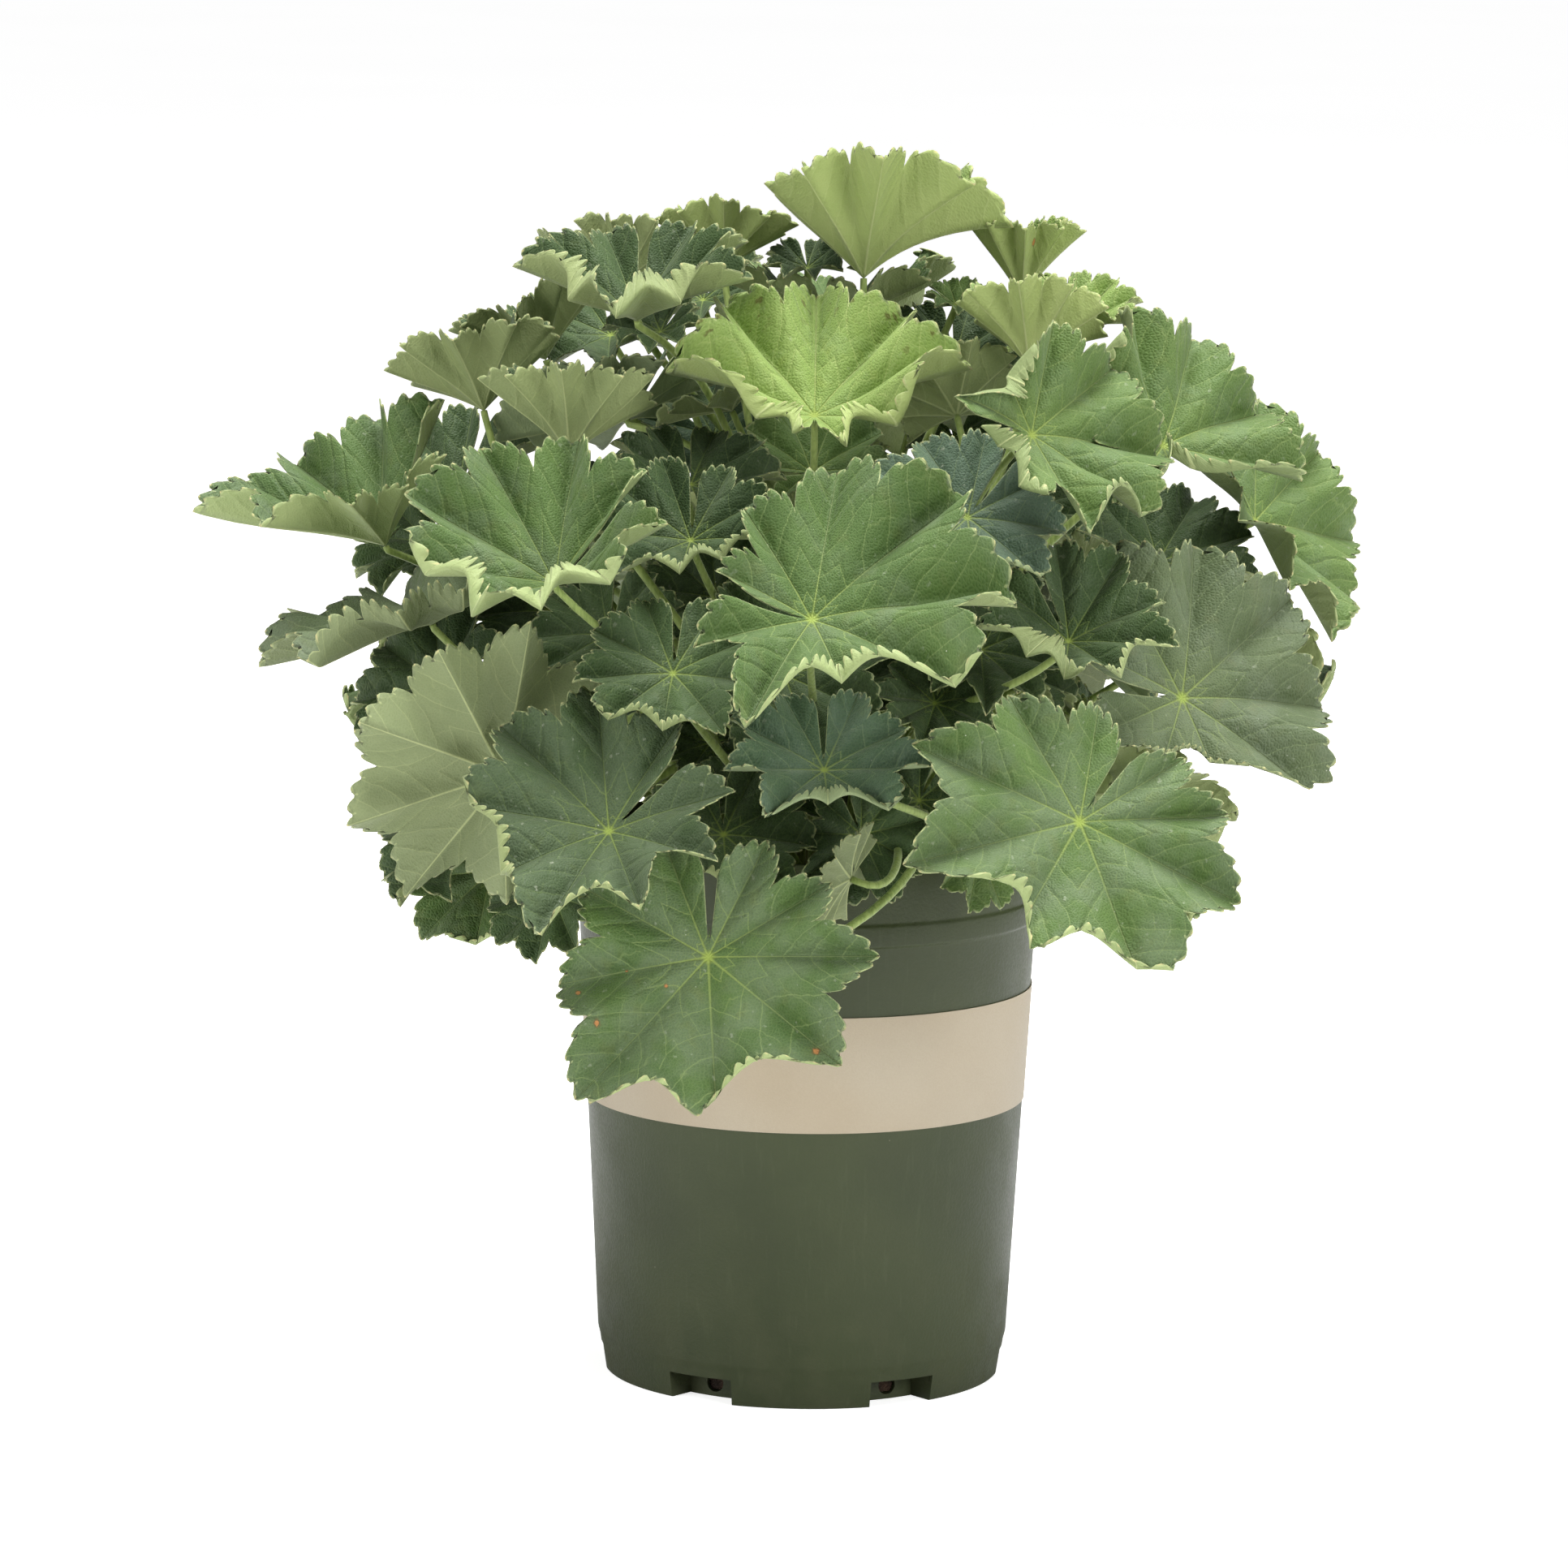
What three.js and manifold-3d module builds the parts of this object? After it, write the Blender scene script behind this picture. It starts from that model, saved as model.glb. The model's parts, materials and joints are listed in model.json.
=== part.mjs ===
// Lady's mantle in a nursery pot: an olive pot with a bare pale band, its soil, and 56 leaves.
// Millimetres, +Z up. The pot stands centred on the origin and the fullest side of the plant
// faces -Y. Each leaf is one closed solid: a lobed, cupped blade on a stalk that bends round the
// other leaves and stands in its own hole in the soil.
import * as THREE from 'three';
import { mergeVertices } from 'three/addons/utils/BufferGeometryUtils.js';
import Module from 'manifold-3d';

// Pot, from the foot up
const POT_HEIGHT = 200.2;
const POT_WALL = 1.6;
const POT_FLOOR = 2.0;
const FOOT_RADIUS = 72.4;
const FOOT_ROUND = 1.6;
const FLARE_RADIUS = 74.3;
const FLARE_HEIGHT = 12.4;
const INNER_FLARE_HEIGHT = 12;
const STEP_HEIGHT = 15;
const STEP_RADIUS = 75;
const LIP_LOW = 169.4;
const LIP_LOW_RADIUS = 83.3;
const LIP_HIGH = 177.7;
const LIP_PROUD = 1.0;
const LIP_ROUND = 0.75;
const LEDGE_ROUND = 0.3;
const AROUND = 36;

// The six recesses round the foot, each with a drain hole in its back wall
const RECESS_COUNT = 6;
const RECESS_FIRST_DEG = 30;
const RECESS_HALF_DEG = 10;
const RECESS_HEIGHT = 9.6;
const RECESS_BACK_RADIUS = 62;
const LINING_INTO_WALL = 0.4;
const LINING_WIDER_DEG = 1.4;
const DRAIN_RADIUS = 3.4;
const DRAIN_HEIGHT = 5.0;
const DRAIN_SIDES = 8;

// The band round the pot
const BAND_LOW = 102.4;
const BAND_HIGH = 144.5;
const BAND_THICK = 0.5;

// Soil
const SOIL_HEIGHT = 174;
const SOIL_RELIEF = 1.4;
const SOIL_DISHED = 2;
const SOIL_RING_RADIUS = 60;
const GAP = 0.3;

// Leaves
const LOBES = 9;
const SPAN = THREE.MathUtils.degToRad(171);
const BLADE_THICK = 1.0;
const NOTCH = 0.15;
const BASAL_SHORTER = 0.2;
const TOOTH_DENT = 0.05;
const INNER_RING = 0.55;
const SINUS_APEX = 0.18;
const LOBE_ROUND = 0.04;
const LENGTH_VARIES = 0.03;
const WOBBLES = [{ turns: 2, share: 0.67 }, { turns: 3, share: 0.47 }, { turns: 5, share: 0.4 }];
const STEEPEST = 75;
const TOOTHED_CORNERS = [[0, 0], [0.22, 0], [0.36, TOOTH_DENT], [0.5, 0], [0.64, TOOTH_DENT], [0.78, 0]];
const PLAIN_CORNERS = [[0, 0], [0.25, 0], [0.5, 0], [0.75, 0]];
const STALK_TOP_RADIUS = 1.9;
const STALK_FOOT_RADIUS = 2.6;
const STALK_STEPS = 6;
const STALK_DEPTH = 12;
const STALK_STRAIGHT = 3;
const STALK_BELOW_HUB = 0.8;
const HOLE_WIDER = 0.8;
const CROWN_RINGS = [
  { radius: 7, places: 4 },
  { radius: 18, places: 10 },
  { radius: 29, places: 17 },
  { radius: 40, places: 26 },
];

// How the leaves are kept apart: they move along the line from which the front is seen, and each
// stalk takes the first of several bends that is clear
const SIGHT_DROP = THREE.MathUtils.degToRad(9);
const MOVE_STEP = 2;
const MOST_STEPS = 35;
const MOST_ROUNDS = 4;
const CUBE = 6.5;
const BLADE_HALF = 0.7;
const STALK_HALF = 2.5;
const CLEARANCE = 1.1;
const NEAR_HUB = 9;
const POT_CLEARANCE = 4;
const SAMPLES_ALONG = 10;
const SAMPLES_PER_LOBE = 16;
const STALK_SAMPLE = 2.5;
const BENDS = {
  leaving: [[0.3, 0, 0], [0.18, 0, 0], [0.45, 0, 0], [0.15, 0.25, 0], [0.1, 0.4, 0.15], [0.05, 0.45, 0.3],
    [0.6, 0, 0], [0.1, 0.45, 0], [0.3, 0.3, 0], [0.8, 0, 0], [0, 0.5, 0.45]],
  rising: [0.4, 0.25, 0.6, 0.1, 0.8, 1.1],
  swing: [0, 10, -10, 20, -20, 32, -32, 48, -48, 65, -65],
  twist: [0, 20, -20, 45, -45],
};

// Each leaf: x, y, z of the hub; the way its upper face looks, as a turn from the front towards
// +X and a rise above level; the turn of its middle lobe in the blade's own plane; the reach of
// that lobe; then the slopes in degrees that shape it: cup, curl, fold, nod, wave and pleat.
const LEAF_FIELDS = ['x', 'y', 'z', 'facing', 'rise', 'turn', 'reach',
  'cup', 'curl', 'fold', 'nod', 'wave', 'pleat', 'tone', 'toothed'];
const FRONT_LEAVES = {
  top_4: [0, -45, 355, 0, 56, 180, 55, 24, 0, 0, 0, 6, 7, 'young', true],
  right_10: [93, -150, 227, 12, 24, -38, 57, 6, 14, 0, 0, 8, 6, 'green', true],
  left_10: [-34, -150, 178, -8, 18, 0, 58, 6, 8, 0, 0, 7, 6, 'green', true],
  centre_1: [0, -130, 293, 4, 46, 92, 64, 20, 0, 0, 8, 7, 6, 'green', true],
  left_6: [-69, -130, 218, -14, 46, -50, 56, 20, 6, 0, 4, 8, 6, 'dark', true],
  right_5: [131, -75, 260, 26, 30, 85, 61, 10, 0, 0, 6, 8, 6, 'dusty', true],
  right_1: [76, -80, 353, 34, 32, 80, 50, 14, 0, 16, -4, 8, 7, 'bright', true],
  right_2: [124, -48, 347, 34, 38, 105, 53, 14, 0, 10, 0, 8, 7, 'bright', true],
  left_3: [-90, -90, 299, -20, 56, -60, 60, 34, 0, 0, 4, 8, 6, 'green', true],
  left_1: [-154, -14, 303, -78, 64, 0, 66, 40, 0, 0, 0, 7, 6, 'green', true],
  top_5: [-64, -20, 386, -8, 68, 0, 51, 36, 0, 0, -6, 8, 6, 'dark', true],
  top_1: [17, 10, 400, 180, 76, -95, 58, 43, 0, 0, 19, 6, 7, 'young', true],
  left_4: [-107, -100, 233, -165, 8, 112, 56, 8, 6, 14, 0, 8, 6, 'dusty', true],
  centre_2: [5, -120, 239, 5, 50, 0, 38, 18, 8, 0, 0, 8, 6, 'blue', true],
  right_8: [54, -84, 324, 8, 42, -40, 40, 14, 0, 0, 0, 8, 6, 'blue', false],
  right_6: [90, -108, 284, 4, 50, 30, 40, 26, 0, 0, 0, 8, 6, 'dark', false],
  left_2: [-135, -54, 280, -88, 69, 0, 60, 12, 0, 2, 0, 5, 6, 'dusty', false],
  top_12: [76, -30, 373, 165, 66, 180, 36, 44, 0, 0, 0, 8, 7, 'young', false],
  centre_3: [-48, -105, 270, -8, 44, 0, 36, 14, 0, 0, 0, 8, 6, 'dark', false],
  left_12: [-87, -45, 340, 175, 72, 180, 42, 44, 0, 0, 0, 8, 6, 'dark', false],
  right_3: [160, 5, 314, 64, 34, 30, 52, 16, 4, 10, 0, 8, 6, 'bright', true],
  centre_5: [-43, -85, 315, -8, 50, 0, 38, 24, 14, 0, 0, 8, 6, 'dark', false],
  right_4: [124, -30, 303, 30, 56, 95, 38, 18, 0, 0, 0, 8, 6, 'dark', false],
  right_7: [99, -50, 310, 20, 64, 90, 40, 32, 0, 0, 0, 8, 6, 'dark', false],
  left_11: [-95, -35, 283, -20, 40, 0, 31, 14, 0, 0, 0, 8, 6, 'dark', false],
  left_5: [-132, -55, 258, -40, 40, -70, 35, 14, 0, 0, 0, 8, 6, 'dark', false],
  left_8: [-128, -35, 203, -50, 34, 0, 33, 12, 0, 0, 0, 8, 6, 'dark', false],
  left_9: [-90, -74, 186, -30, 30, 0, 26, 8, 0, 0, 0, 8, 6, 'dark', false],
  left_7: [-114, -60, 192, -20, 22, 0, 34, 14, 0, 0, 0, 8, 6, 'green', false],
  centre_4: [-72, -62, 278, -22, 46, 0, 31, 14, 0, 0, 0, 8, 6, 'dark', false],
  centre_10: [-30, -95, 212, 5, 45, 0, 34, 12, 0, 0, 0, 8, 6, 'dark', false],
  top_2: [75, 25, 392, 0, 84, 0, 36, 60, 0, 0, 0, 5, 5, 'young', false],
  top_3: [93, 0, 384, 30, 66, 0, 28, 38, 0, 0, 0, 6, 6, 'young', false],
  top_6: [-34, 45, 400, 180, 70, 180, 31, 38, 0, 0, 0, 8, 6, 'young', false],
  top_7: [-70, 35, 396, 165, 68, 180, 28, 40, 0, 0, 0, 8, 6, 'dark', false],
  top_10: [51, 45, 368, 15, 60, 0, 34, 26, 0, 0, 0, 8, 6, 'dark', false],
  left_13: [-120, 10, 350, -150, 66, 180, 40, 40, 0, 0, 0, 8, 6, 'dark', false],
  left_14: [-99, 35, 367, -110, 68, 180, 40, 40, 0, 0, 0, 8, 6, 'dark', false],
  left_16: [-131, 60, 316, -42, 60, 0, 42, 24, 0, 0, 0, 8, 6, 'dark', false],
  centre_9: [15, -125, 202, -110, 20, 0, 24, 10, 0, 0, 0, 6, 5, 'dusty', false],
  centre_7: [-44, -30, 328, 10, 60, 0, 34, 20, 0, 0, 0, 8, 6, 'dark', false],
  top_11: [51, -42, 357, -160, 45, 180, 30, 26, 0, 0, 0, 8, 6, 'dark', false],
};

// The sides and the back have no places of their own: they stand in tiers round the crown
const BACK_TIERS = [
  { count: 5, height: 206, out: 148, widest: 160, rise: 34, reach: 56, from: 88, to: 244 },
  { count: 5, height: 270, out: 142, widest: 195, rise: 46, reach: 57, from: 100, to: 242 },
  { count: 3, height: 338, out: 96, widest: 170, rise: 60, reach: 52, from: 132, to: 222 },
  { count: 1, height: 372, out: 62, widest: 120, rise: 74, reach: 48, from: 180, to: 180 },
];
const BACK_SHAPE = { cup: 16, curl: 4, fold: 6, nod: 0, wave: 8, pleat: 6 };
const BACK_VARIES = {
  bearing: 6, out: 8, height: 9, facing: 12, rise: 7, turn: 25, reach: 4, cup: 8, curl: 6, fold: 8, nod: 6,
};
const BACK_SEED = 100;
const BACK_FIRST_USE = 4;
const FOLIAGE_SHARE = 0.85;
const BACK_TONES = ['green', 'dark', 'dusty', 'green', 'blue'];

const TONES = {
  young: new THREE.MeshStandardMaterial({ color: 0xa9bd5c, roughness: 0.75 }),
  bright: new THREE.MeshStandardMaterial({ color: 0x86a54c, roughness: 0.75 }),
  green: new THREE.MeshStandardMaterial({ color: 0x6d8a4c, roughness: 0.8 }),
  dark: new THREE.MeshStandardMaterial({ color: 0x3f5a3c, roughness: 0.8 }),
  blue: new THREE.MeshStandardMaterial({ color: 0x4e6f58, roughness: 0.8 }),
  dusty: new THREE.MeshStandardMaterial({ color: 0x7d9070, roughness: 0.85 }),
};
const POT_PLASTIC = new THREE.MeshStandardMaterial({ color: 0x5c6850, roughness: 0.5 });
const BAND_PRINT = new THREE.MeshStandardMaterial({ color: 0xd8c8b0, roughness: 0.6 });
const SOIL_CRUMB = new THREE.MeshStandardMaterial({ color: 0x3a2a1e, roughness: 1 });

const wasm = await Module();
wasm.setup();

const { degToRad, clamp, lerp } = THREE.MathUtils;

// The same fraction for the same pair of whole numbers, spread evenly over 0 to 1
function draw(seed, use) {
  const value = Math.sin(seed * 12.9898 + use * 78.233) * 43758.5453;
  return value - Math.floor(value);
}

// Solids for cutting and joining, and back again
function toSolid(geometry) {
  const bare = geometry.clone();
  bare.deleteAttribute('normal');
  bare.deleteAttribute('uv');
  const merged = mergeVertices(bare, 1e-4);
  return new wasm.Manifold(new wasm.Mesh({
    numProp: 3,
    vertProperties: new Float32Array(merged.attributes.position.array),
    triVerts: new Uint32Array(merged.index.array),
  }));
}

function toGeometry(solid) {
  const mesh = solid.getMesh();
  const geometry = new THREE.BufferGeometry();
  geometry.setAttribute('position', new THREE.BufferAttribute(new Float32Array(mesh.vertProperties), 3));
  geometry.setIndex(new THREE.BufferAttribute(new Uint32Array(mesh.triVerts), 1));
  return geometry;
}

// A profile of [radius, height] pairs turned about +Z
function turned(profile, segments = AROUND) {
  const points = profile.map(([radius, height]) => new THREE.Vector2(radius, height));
  return new THREE.LatheGeometry(points, segments).rotateX(Math.PI / 2);
}

function outerRadius(height) {
  const up = (height - STEP_HEIGHT) / (LIP_LOW - STEP_HEIGHT);
  return lerp(STEP_RADIUS, LIP_LOW_RADIUS, up);
}

// A block that follows the pot's round between two radii, two heights and two bearings
function sector(inner, outer, low, high, middleDeg, halfDeg) {
  const shape = new THREE.Shape();
  const from = degToRad(middleDeg - halfDeg);
  const to = degToRad(middleDeg + halfDeg);
  shape.absarc(0, 0, outer, from, to, false);
  shape.absarc(0, 0, inner, to, from, true);
  const settings = { depth: high - low, bevelEnabled: false, curveSegments: 2 };
  const block = new THREE.ExtrudeGeometry(shape, settings);
  return block.translate(0, 0, low);
}

function recessBearings() {
  return Array.from({ length: RECESS_COUNT }, (_, i) => RECESS_FIRST_DEG - 90 + i * 360 / RECESS_COUNT);
}

function potGeometry() {
  const lip = LIP_LOW_RADIUS + LIP_PROUD;
  const rim = outerRadius(POT_HEIGHT);
  const profile = [
    [0, 0],
    [FOOT_RADIUS - FOOT_ROUND, 0],
    [FOOT_RADIUS, FOOT_ROUND],
    [FLARE_RADIUS, FLARE_HEIGHT],
    [STEP_RADIUS, STEP_HEIGHT],
    [LIP_LOW_RADIUS, LIP_LOW],
    [lip, LIP_LOW + LIP_ROUND],
    [lip, LIP_HIGH - LEDGE_ROUND],
    [outerRadius(LIP_HIGH), LIP_HIGH],
    [rim, POT_HEIGHT - LIP_ROUND],
    [rim - LIP_ROUND, POT_HEIGHT],
    [rim - POT_WALL, POT_HEIGHT],
    [outerRadius(INNER_FLARE_HEIGHT) - POT_WALL, INNER_FLARE_HEIGHT],
    [FOOT_RADIUS - POT_WALL, POT_FLOOR],
    [0, POT_FLOOR],
  ];
  const body = toSolid(turned(profile));
  const back = RECESS_BACK_RADIUS;
  const bearings = recessBearings();
  const linings = bearings.map((bearing) => toSolid(
    sector(back - POT_WALL, FOOT_RADIUS - LINING_INTO_WALL, LINING_INTO_WALL, RECESS_HEIGHT + POT_WALL,
      bearing, RECESS_HALF_DEG + LINING_WIDER_DEG)));
  const hollows = bearings.map((bearing) => toSolid(
    sector(back, STEP_RADIUS + POT_WALL, -POT_FLOOR, RECESS_HEIGHT, bearing, RECESS_HALF_DEG)));
  const drains = bearings.map((bearing) => {
    const hole = new THREE.CylinderGeometry(DRAIN_RADIUS, DRAIN_RADIUS, 4 * POT_WALL, DRAIN_SIDES);
    hole.rotateZ(Math.PI / 2);
    hole.translate(back - POT_WALL / 2, 0, 0).rotateZ(degToRad(bearing)).translate(0, 0, DRAIN_HEIGHT);
    return toSolid(hole);
  });
  const lined = linings.reduce((whole, lining) => whole.add(lining), body);
  return toGeometry([...hollows, ...drains].reduce((whole, cut) => whole.subtract(cut), lined));
}

function bandGeometry() {
  const inner = (height) => outerRadius(height) + GAP;
  return turned([
    [inner(BAND_LOW), BAND_LOW],
    [inner(BAND_LOW) + BAND_THICK, BAND_LOW],
    [inner(BAND_HIGH) + BAND_THICK, BAND_HIGH],
    [inner(BAND_HIGH), BAND_HIGH],
    [inner(BAND_LOW), BAND_LOW],
  ]);
}

// The soil's surface rolls gently and is a little lower at the wall
function soilLevel(x, y) {
  const out = Math.hypot(x, y) / LIP_LOW_RADIUS;
  return SOIL_HEIGHT - SOIL_DISHED * out * out + SOIL_RELIEF * Math.sin(x * 0.09 + 1) * Math.cos(y * 0.11);
}

function soilGeometry(leaves) {
  const inside = (height) => outerRadius(height) - POT_WALL - GAP;
  const lining = RECESS_BACK_RADIUS - POT_WALL - GAP;
  const ledge = RECESS_HEIGHT + POT_WALL + GAP;
  const rim = SOIL_HEIGHT - SOIL_DISHED;
  const profile = [
    [0, POT_FLOOR + GAP],
    [lining, POT_FLOOR + GAP],
    [lining, ledge],
    [inside(INNER_FLARE_HEIGHT) - GAP, ledge],
    [inside(rim), rim],
    [SOIL_RING_RADIUS, SOIL_HEIGHT],
    [0, SOIL_HEIGHT],
  ];
  const geometry = turned(profile);
  const place = geometry.attributes.position;
  for (let i = 0; i < place.count; i += 1) {
    if (place.getZ(i) > rim + GAP) {
      place.setZ(i, soilLevel(place.getX(i), place.getY(i)));
    }
  }
  const holes = leaves.map((leaf) => toSolid(leaf.holeGeometry()));
  return toGeometry(holes.reduce((whole, hole) => whole.subtract(hole), toSolid(geometry)));
}

// Points of what already stands, kept in cubes so that the near ones are found quickly
class Crowd {
  constructor() {
    this.cubes = new Map();
  }

  static cube(x, y, z) {
    return (x + 100) * 40000 + (y + 100) * 200 + z + 100;
  }

  // Each point is the middle of something as thick as twice half
  add(points, owner, half) {
    for (const { x, y, z } of points) {
      const key = Crowd.cube(Math.floor(x / CUBE), Math.floor(y / CUBE), Math.floor(z / CUBE));
      if (!this.cubes.has(key)) this.cubes.set(key, []);
      this.cubes.get(key).push({ x, y, z, owner, half });
    }
  }

  // How many points come too near to what another owner has put there; stops above the limit
  meets(points, half, { move = new THREE.Vector3(), except = null, limit = Infinity } = {}) {
    let count = 0;
    for (const point of points) {
      const [x, y, z] = [point.x + move.x, point.y + move.y, point.z + move.z];
      if (this.crowds(x, y, z, half, except)) count += 1;
      if (count > limit) break;
    }
    return count;
  }

  crowds(x, y, z, half, except) {
    const [i, j, k] = [Math.floor(x / CUBE), Math.floor(y / CUBE), Math.floor(z / CUBE)];
    for (let di = -1; di <= 1; di += 1) {
      for (let dj = -1; dj <= 1; dj += 1) {
        for (let dk = -1; dk <= 1; dk += 1) {
          for (const near of this.cubes.get(Crowd.cube(i + di, j + dj, k + dk)) ?? []) {
            const apart = half + near.half + CLEARANCE;
            const far = (near.x - x) ** 2 + (near.y - y) ** 2 + (near.z - z) ** 2;
            if (near.owner !== except && far < apart * apart) return true;
          }
        }
      }
    }
    return false;
  }
}

class Leaf {
  constructor(name, row, seed) {
    this.name = name;
    this.seed = seed;
    LEAF_FIELDS.forEach((field, i) => { this[field] = row[i]; });
    this.hub = new THREE.Vector3(this.x, this.y, this.z);
    const facing = degToRad(this.facing);
    const rise = degToRad(this.rise);
    const turn = degToRad(this.turn);
    this.up = new THREE.Vector3(
      Math.sin(facing) * Math.cos(rise), -Math.cos(facing) * Math.cos(rise), Math.sin(rise));
    const downhill = new THREE.Vector3(
      Math.sin(facing) * Math.sin(rise), -Math.cos(facing) * Math.sin(rise), -Math.cos(rise));
    const level = new THREE.Vector3().crossVectors(this.up, downhill);
    this.ahead = downhill.multiplyScalar(Math.cos(turn)).addScaledVector(level, Math.sin(turn));
    this.across = new THREE.Vector3().crossVectors(this.up, this.ahead);
  }

  // Bearing in the blade of a place counted in lobes, from 0 at one side of the sinus to LOBES
  static bearing(lobe) {
    return SPAN * (2 * lobe / LOBES - 1);
  }

  wobble(bearing) {
    return WOBBLES.reduce((sum, { turns, share }, i) => (
      sum + share * Math.sin(turns * bearing + 2 * Math.PI * draw(this.seed, i + 1))), 0);
  }

  outline(lobe) {
    const middle = (lobe - LOBES / 2) / (LOBES / 2);
    const within = Math.abs(2 * (lobe - Math.floor(lobe)) - 1);
    const long = 1 - BASAL_SHORTER * middle * middle + LENGTH_VARIES * this.wobble(Leaf.bearing(lobe));
    return long * (1 - NOTCH * within ** 4 - LOBE_ROUND * within * within);
  }

  slope(lobe, out) {
    const bearing = Leaf.bearing(lobe);
    const grow = Math.min(1, 2 * out);
    const degrees = this.cup + this.curl * out * out - this.nod * Math.cos(bearing) * out
      - this.fold * Math.cos(2 * bearing) * grow + this.wave * this.wobble(bearing) * out
      + this.pleat * Math.cos(2 * Math.PI * lobe) * grow;
    return degToRad(clamp(degrees, -STEEPEST, STEEPEST));
  }

  // A place on the blade's middle surface, moved along the blade's axis by a share of its wall
  point(lobe, out, side = 0) {
    const steps = 8;
    let along = 0;
    let height = 0;
    for (let i = 0; i < steps; i += 1) {
      const slope = this.slope(lobe, out * (i + 0.5) / steps);
      along += Math.cos(slope) * out / steps;
      height += Math.sin(slope) * out / steps;
    }
    const wall = side * BLADE_THICK / 2 / Math.cos(this.slope(lobe, out));
    const bearing = Leaf.bearing(lobe);
    return this.hub.clone()
      .addScaledVector(this.ahead, this.reach * along * Math.cos(bearing))
      .addScaledVector(this.across, this.reach * along * Math.sin(bearing))
      .addScaledVector(this.up, this.reach * height + wall);
  }

  // Points spread over the blade's facets
  cloud() {
    const lay = (places) => places.map(({ lobe, out }) => ({ lobe, place: this.point(lobe, out) }));
    const [ring, rim] = [lay(this.ring()), lay(this.rim())];
    const along = (row, lobe) => {
      const next = Math.max(1, row.findIndex((corner) => corner.lobe >= lobe));
      const [a, b] = [row[next - 1], row[next]];
      return a.place.clone().lerp(b.place, (lobe - a.lobe) / (b.lobe - a.lobe));
    };
    const points = [];
    for (let i = 0; i <= LOBES * SAMPLES_PER_LOBE; i += 1) {
      const [inner, outer] = [along(ring, i / SAMPLES_PER_LOBE), along(rim, i / SAMPLES_PER_LOBE)];
      for (let k = 1; k <= SAMPLES_ALONG; k += 1) {
        points.push(this.hub.clone().lerp(inner, k / SAMPLES_ALONG));
        points.push(inner.clone().lerp(outer, k / SAMPLES_ALONG));
      }
    }
    return points;
  }

  // The rim's corners: each lobe rises from a notch to its tip, over coarse teeth where it has them
  rim() {
    const corners = this.toothed ? TOOTHED_CORNERS : PLAIN_CORNERS;
    const rim = [];
    for (let lobe = 0; lobe < LOBES; lobe += 1) {
      for (const [within, dent] of corners) {
        rim.push({ lobe: lobe + within, out: this.outline(lobe + within) - dent });
      }
    }
    rim.push({ lobe: LOBES, out: this.outline(LOBES) });
    return rim;
  }

  // Places between the hub and the rim: the sinus apex, its two sides, and one on each lobe
  ring() {
    const ring = [{ lobe: 0, out: this.outline(0) * INNER_RING }];
    for (let lobe = 0.5; lobe < LOBES; lobe += 1) {
      ring.push({ lobe, out: this.outline(lobe) * INNER_RING });
    }
    ring.push({ lobe: LOBES, out: this.outline(LOBES) * INNER_RING });
    return ring;
  }

  stalkEnd() {
    return this.hub.clone().addScaledVector(this.up, -BLADE_THICK - STALK_BELOW_HUB);
  }

  // The stalk's middle line for one way of bending: straight out of its hole, then one curve
  route(rising, [down, inward, over], swing, twist) {
    const collar = this.foot.clone().setZ(this.foot.z + STALK_DEPTH + STALK_STRAIGHT);
    const end = this.stalkEnd();
    const far = collar.distanceTo(end);
    const homeward = new THREE.Vector3(collar.x - end.x, collar.y - end.y, 0).normalize();
    const sideways = new THREE.Vector3(homeward.y, -homeward.x, 0);
    return new THREE.CubicBezierCurve3(
      collar,
      collar.clone().setZ(collar.z + rising * far).addScaledVector(sideways, swing + twist),
      end.clone().addScaledVector(this.up, -down * far).addScaledVector(homeward, inward * far)
        .addScaledVector(sideways, swing).add(new THREE.Vector3(0, 0, over * far)),
      end);
  }

  // The first bend past the leaves and stalks that already stand, or the one that meets fewest
  bendClear(crowd) {
    this.met = Infinity;
    for (const twist of BENDS.twist) {
      for (const leaving of BENDS.leaving) {
        for (const rising of BENDS.rising) {
          for (const swing of BENDS.swing) {
            const curve = this.route(rising, leaving, swing, twist);
            const met = this.stalkMeets(curve, crowd);
            if (met < this.met) [this.met, this.curve] = [met, curve];
            if (met === 0) return;
          }
        }
      }
    }
  }

  stalkMeets(curve, crowd) {
    const places = curve.getPoints(Math.ceil(curve.getLength() / STALK_SAMPLE));
    const far = places.filter((place) => place.distanceTo(this.hub) > NEAR_HUB);
    const near = places.filter((place) => place.distanceTo(this.hub) <= NEAR_HUB);
    const limit = this.met;
    return crowd.meets(far, STALK_HALF, { limit }) + places.filter(insidePot).length
      + crowd.meets(near, STALK_HALF, { except: this.name, limit });
  }

  stalkCloud() {
    return this.curve.getPoints(Math.ceil(this.curve.getLength() / STALK_SAMPLE));
  }

  // Centres of the stalk's rings from the blade down to the foot
  stalkCentres() {
    const curved = this.curve.getPoints(STALK_STEPS - 1).reverse();
    return [...curved, this.foot];
  }

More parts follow.
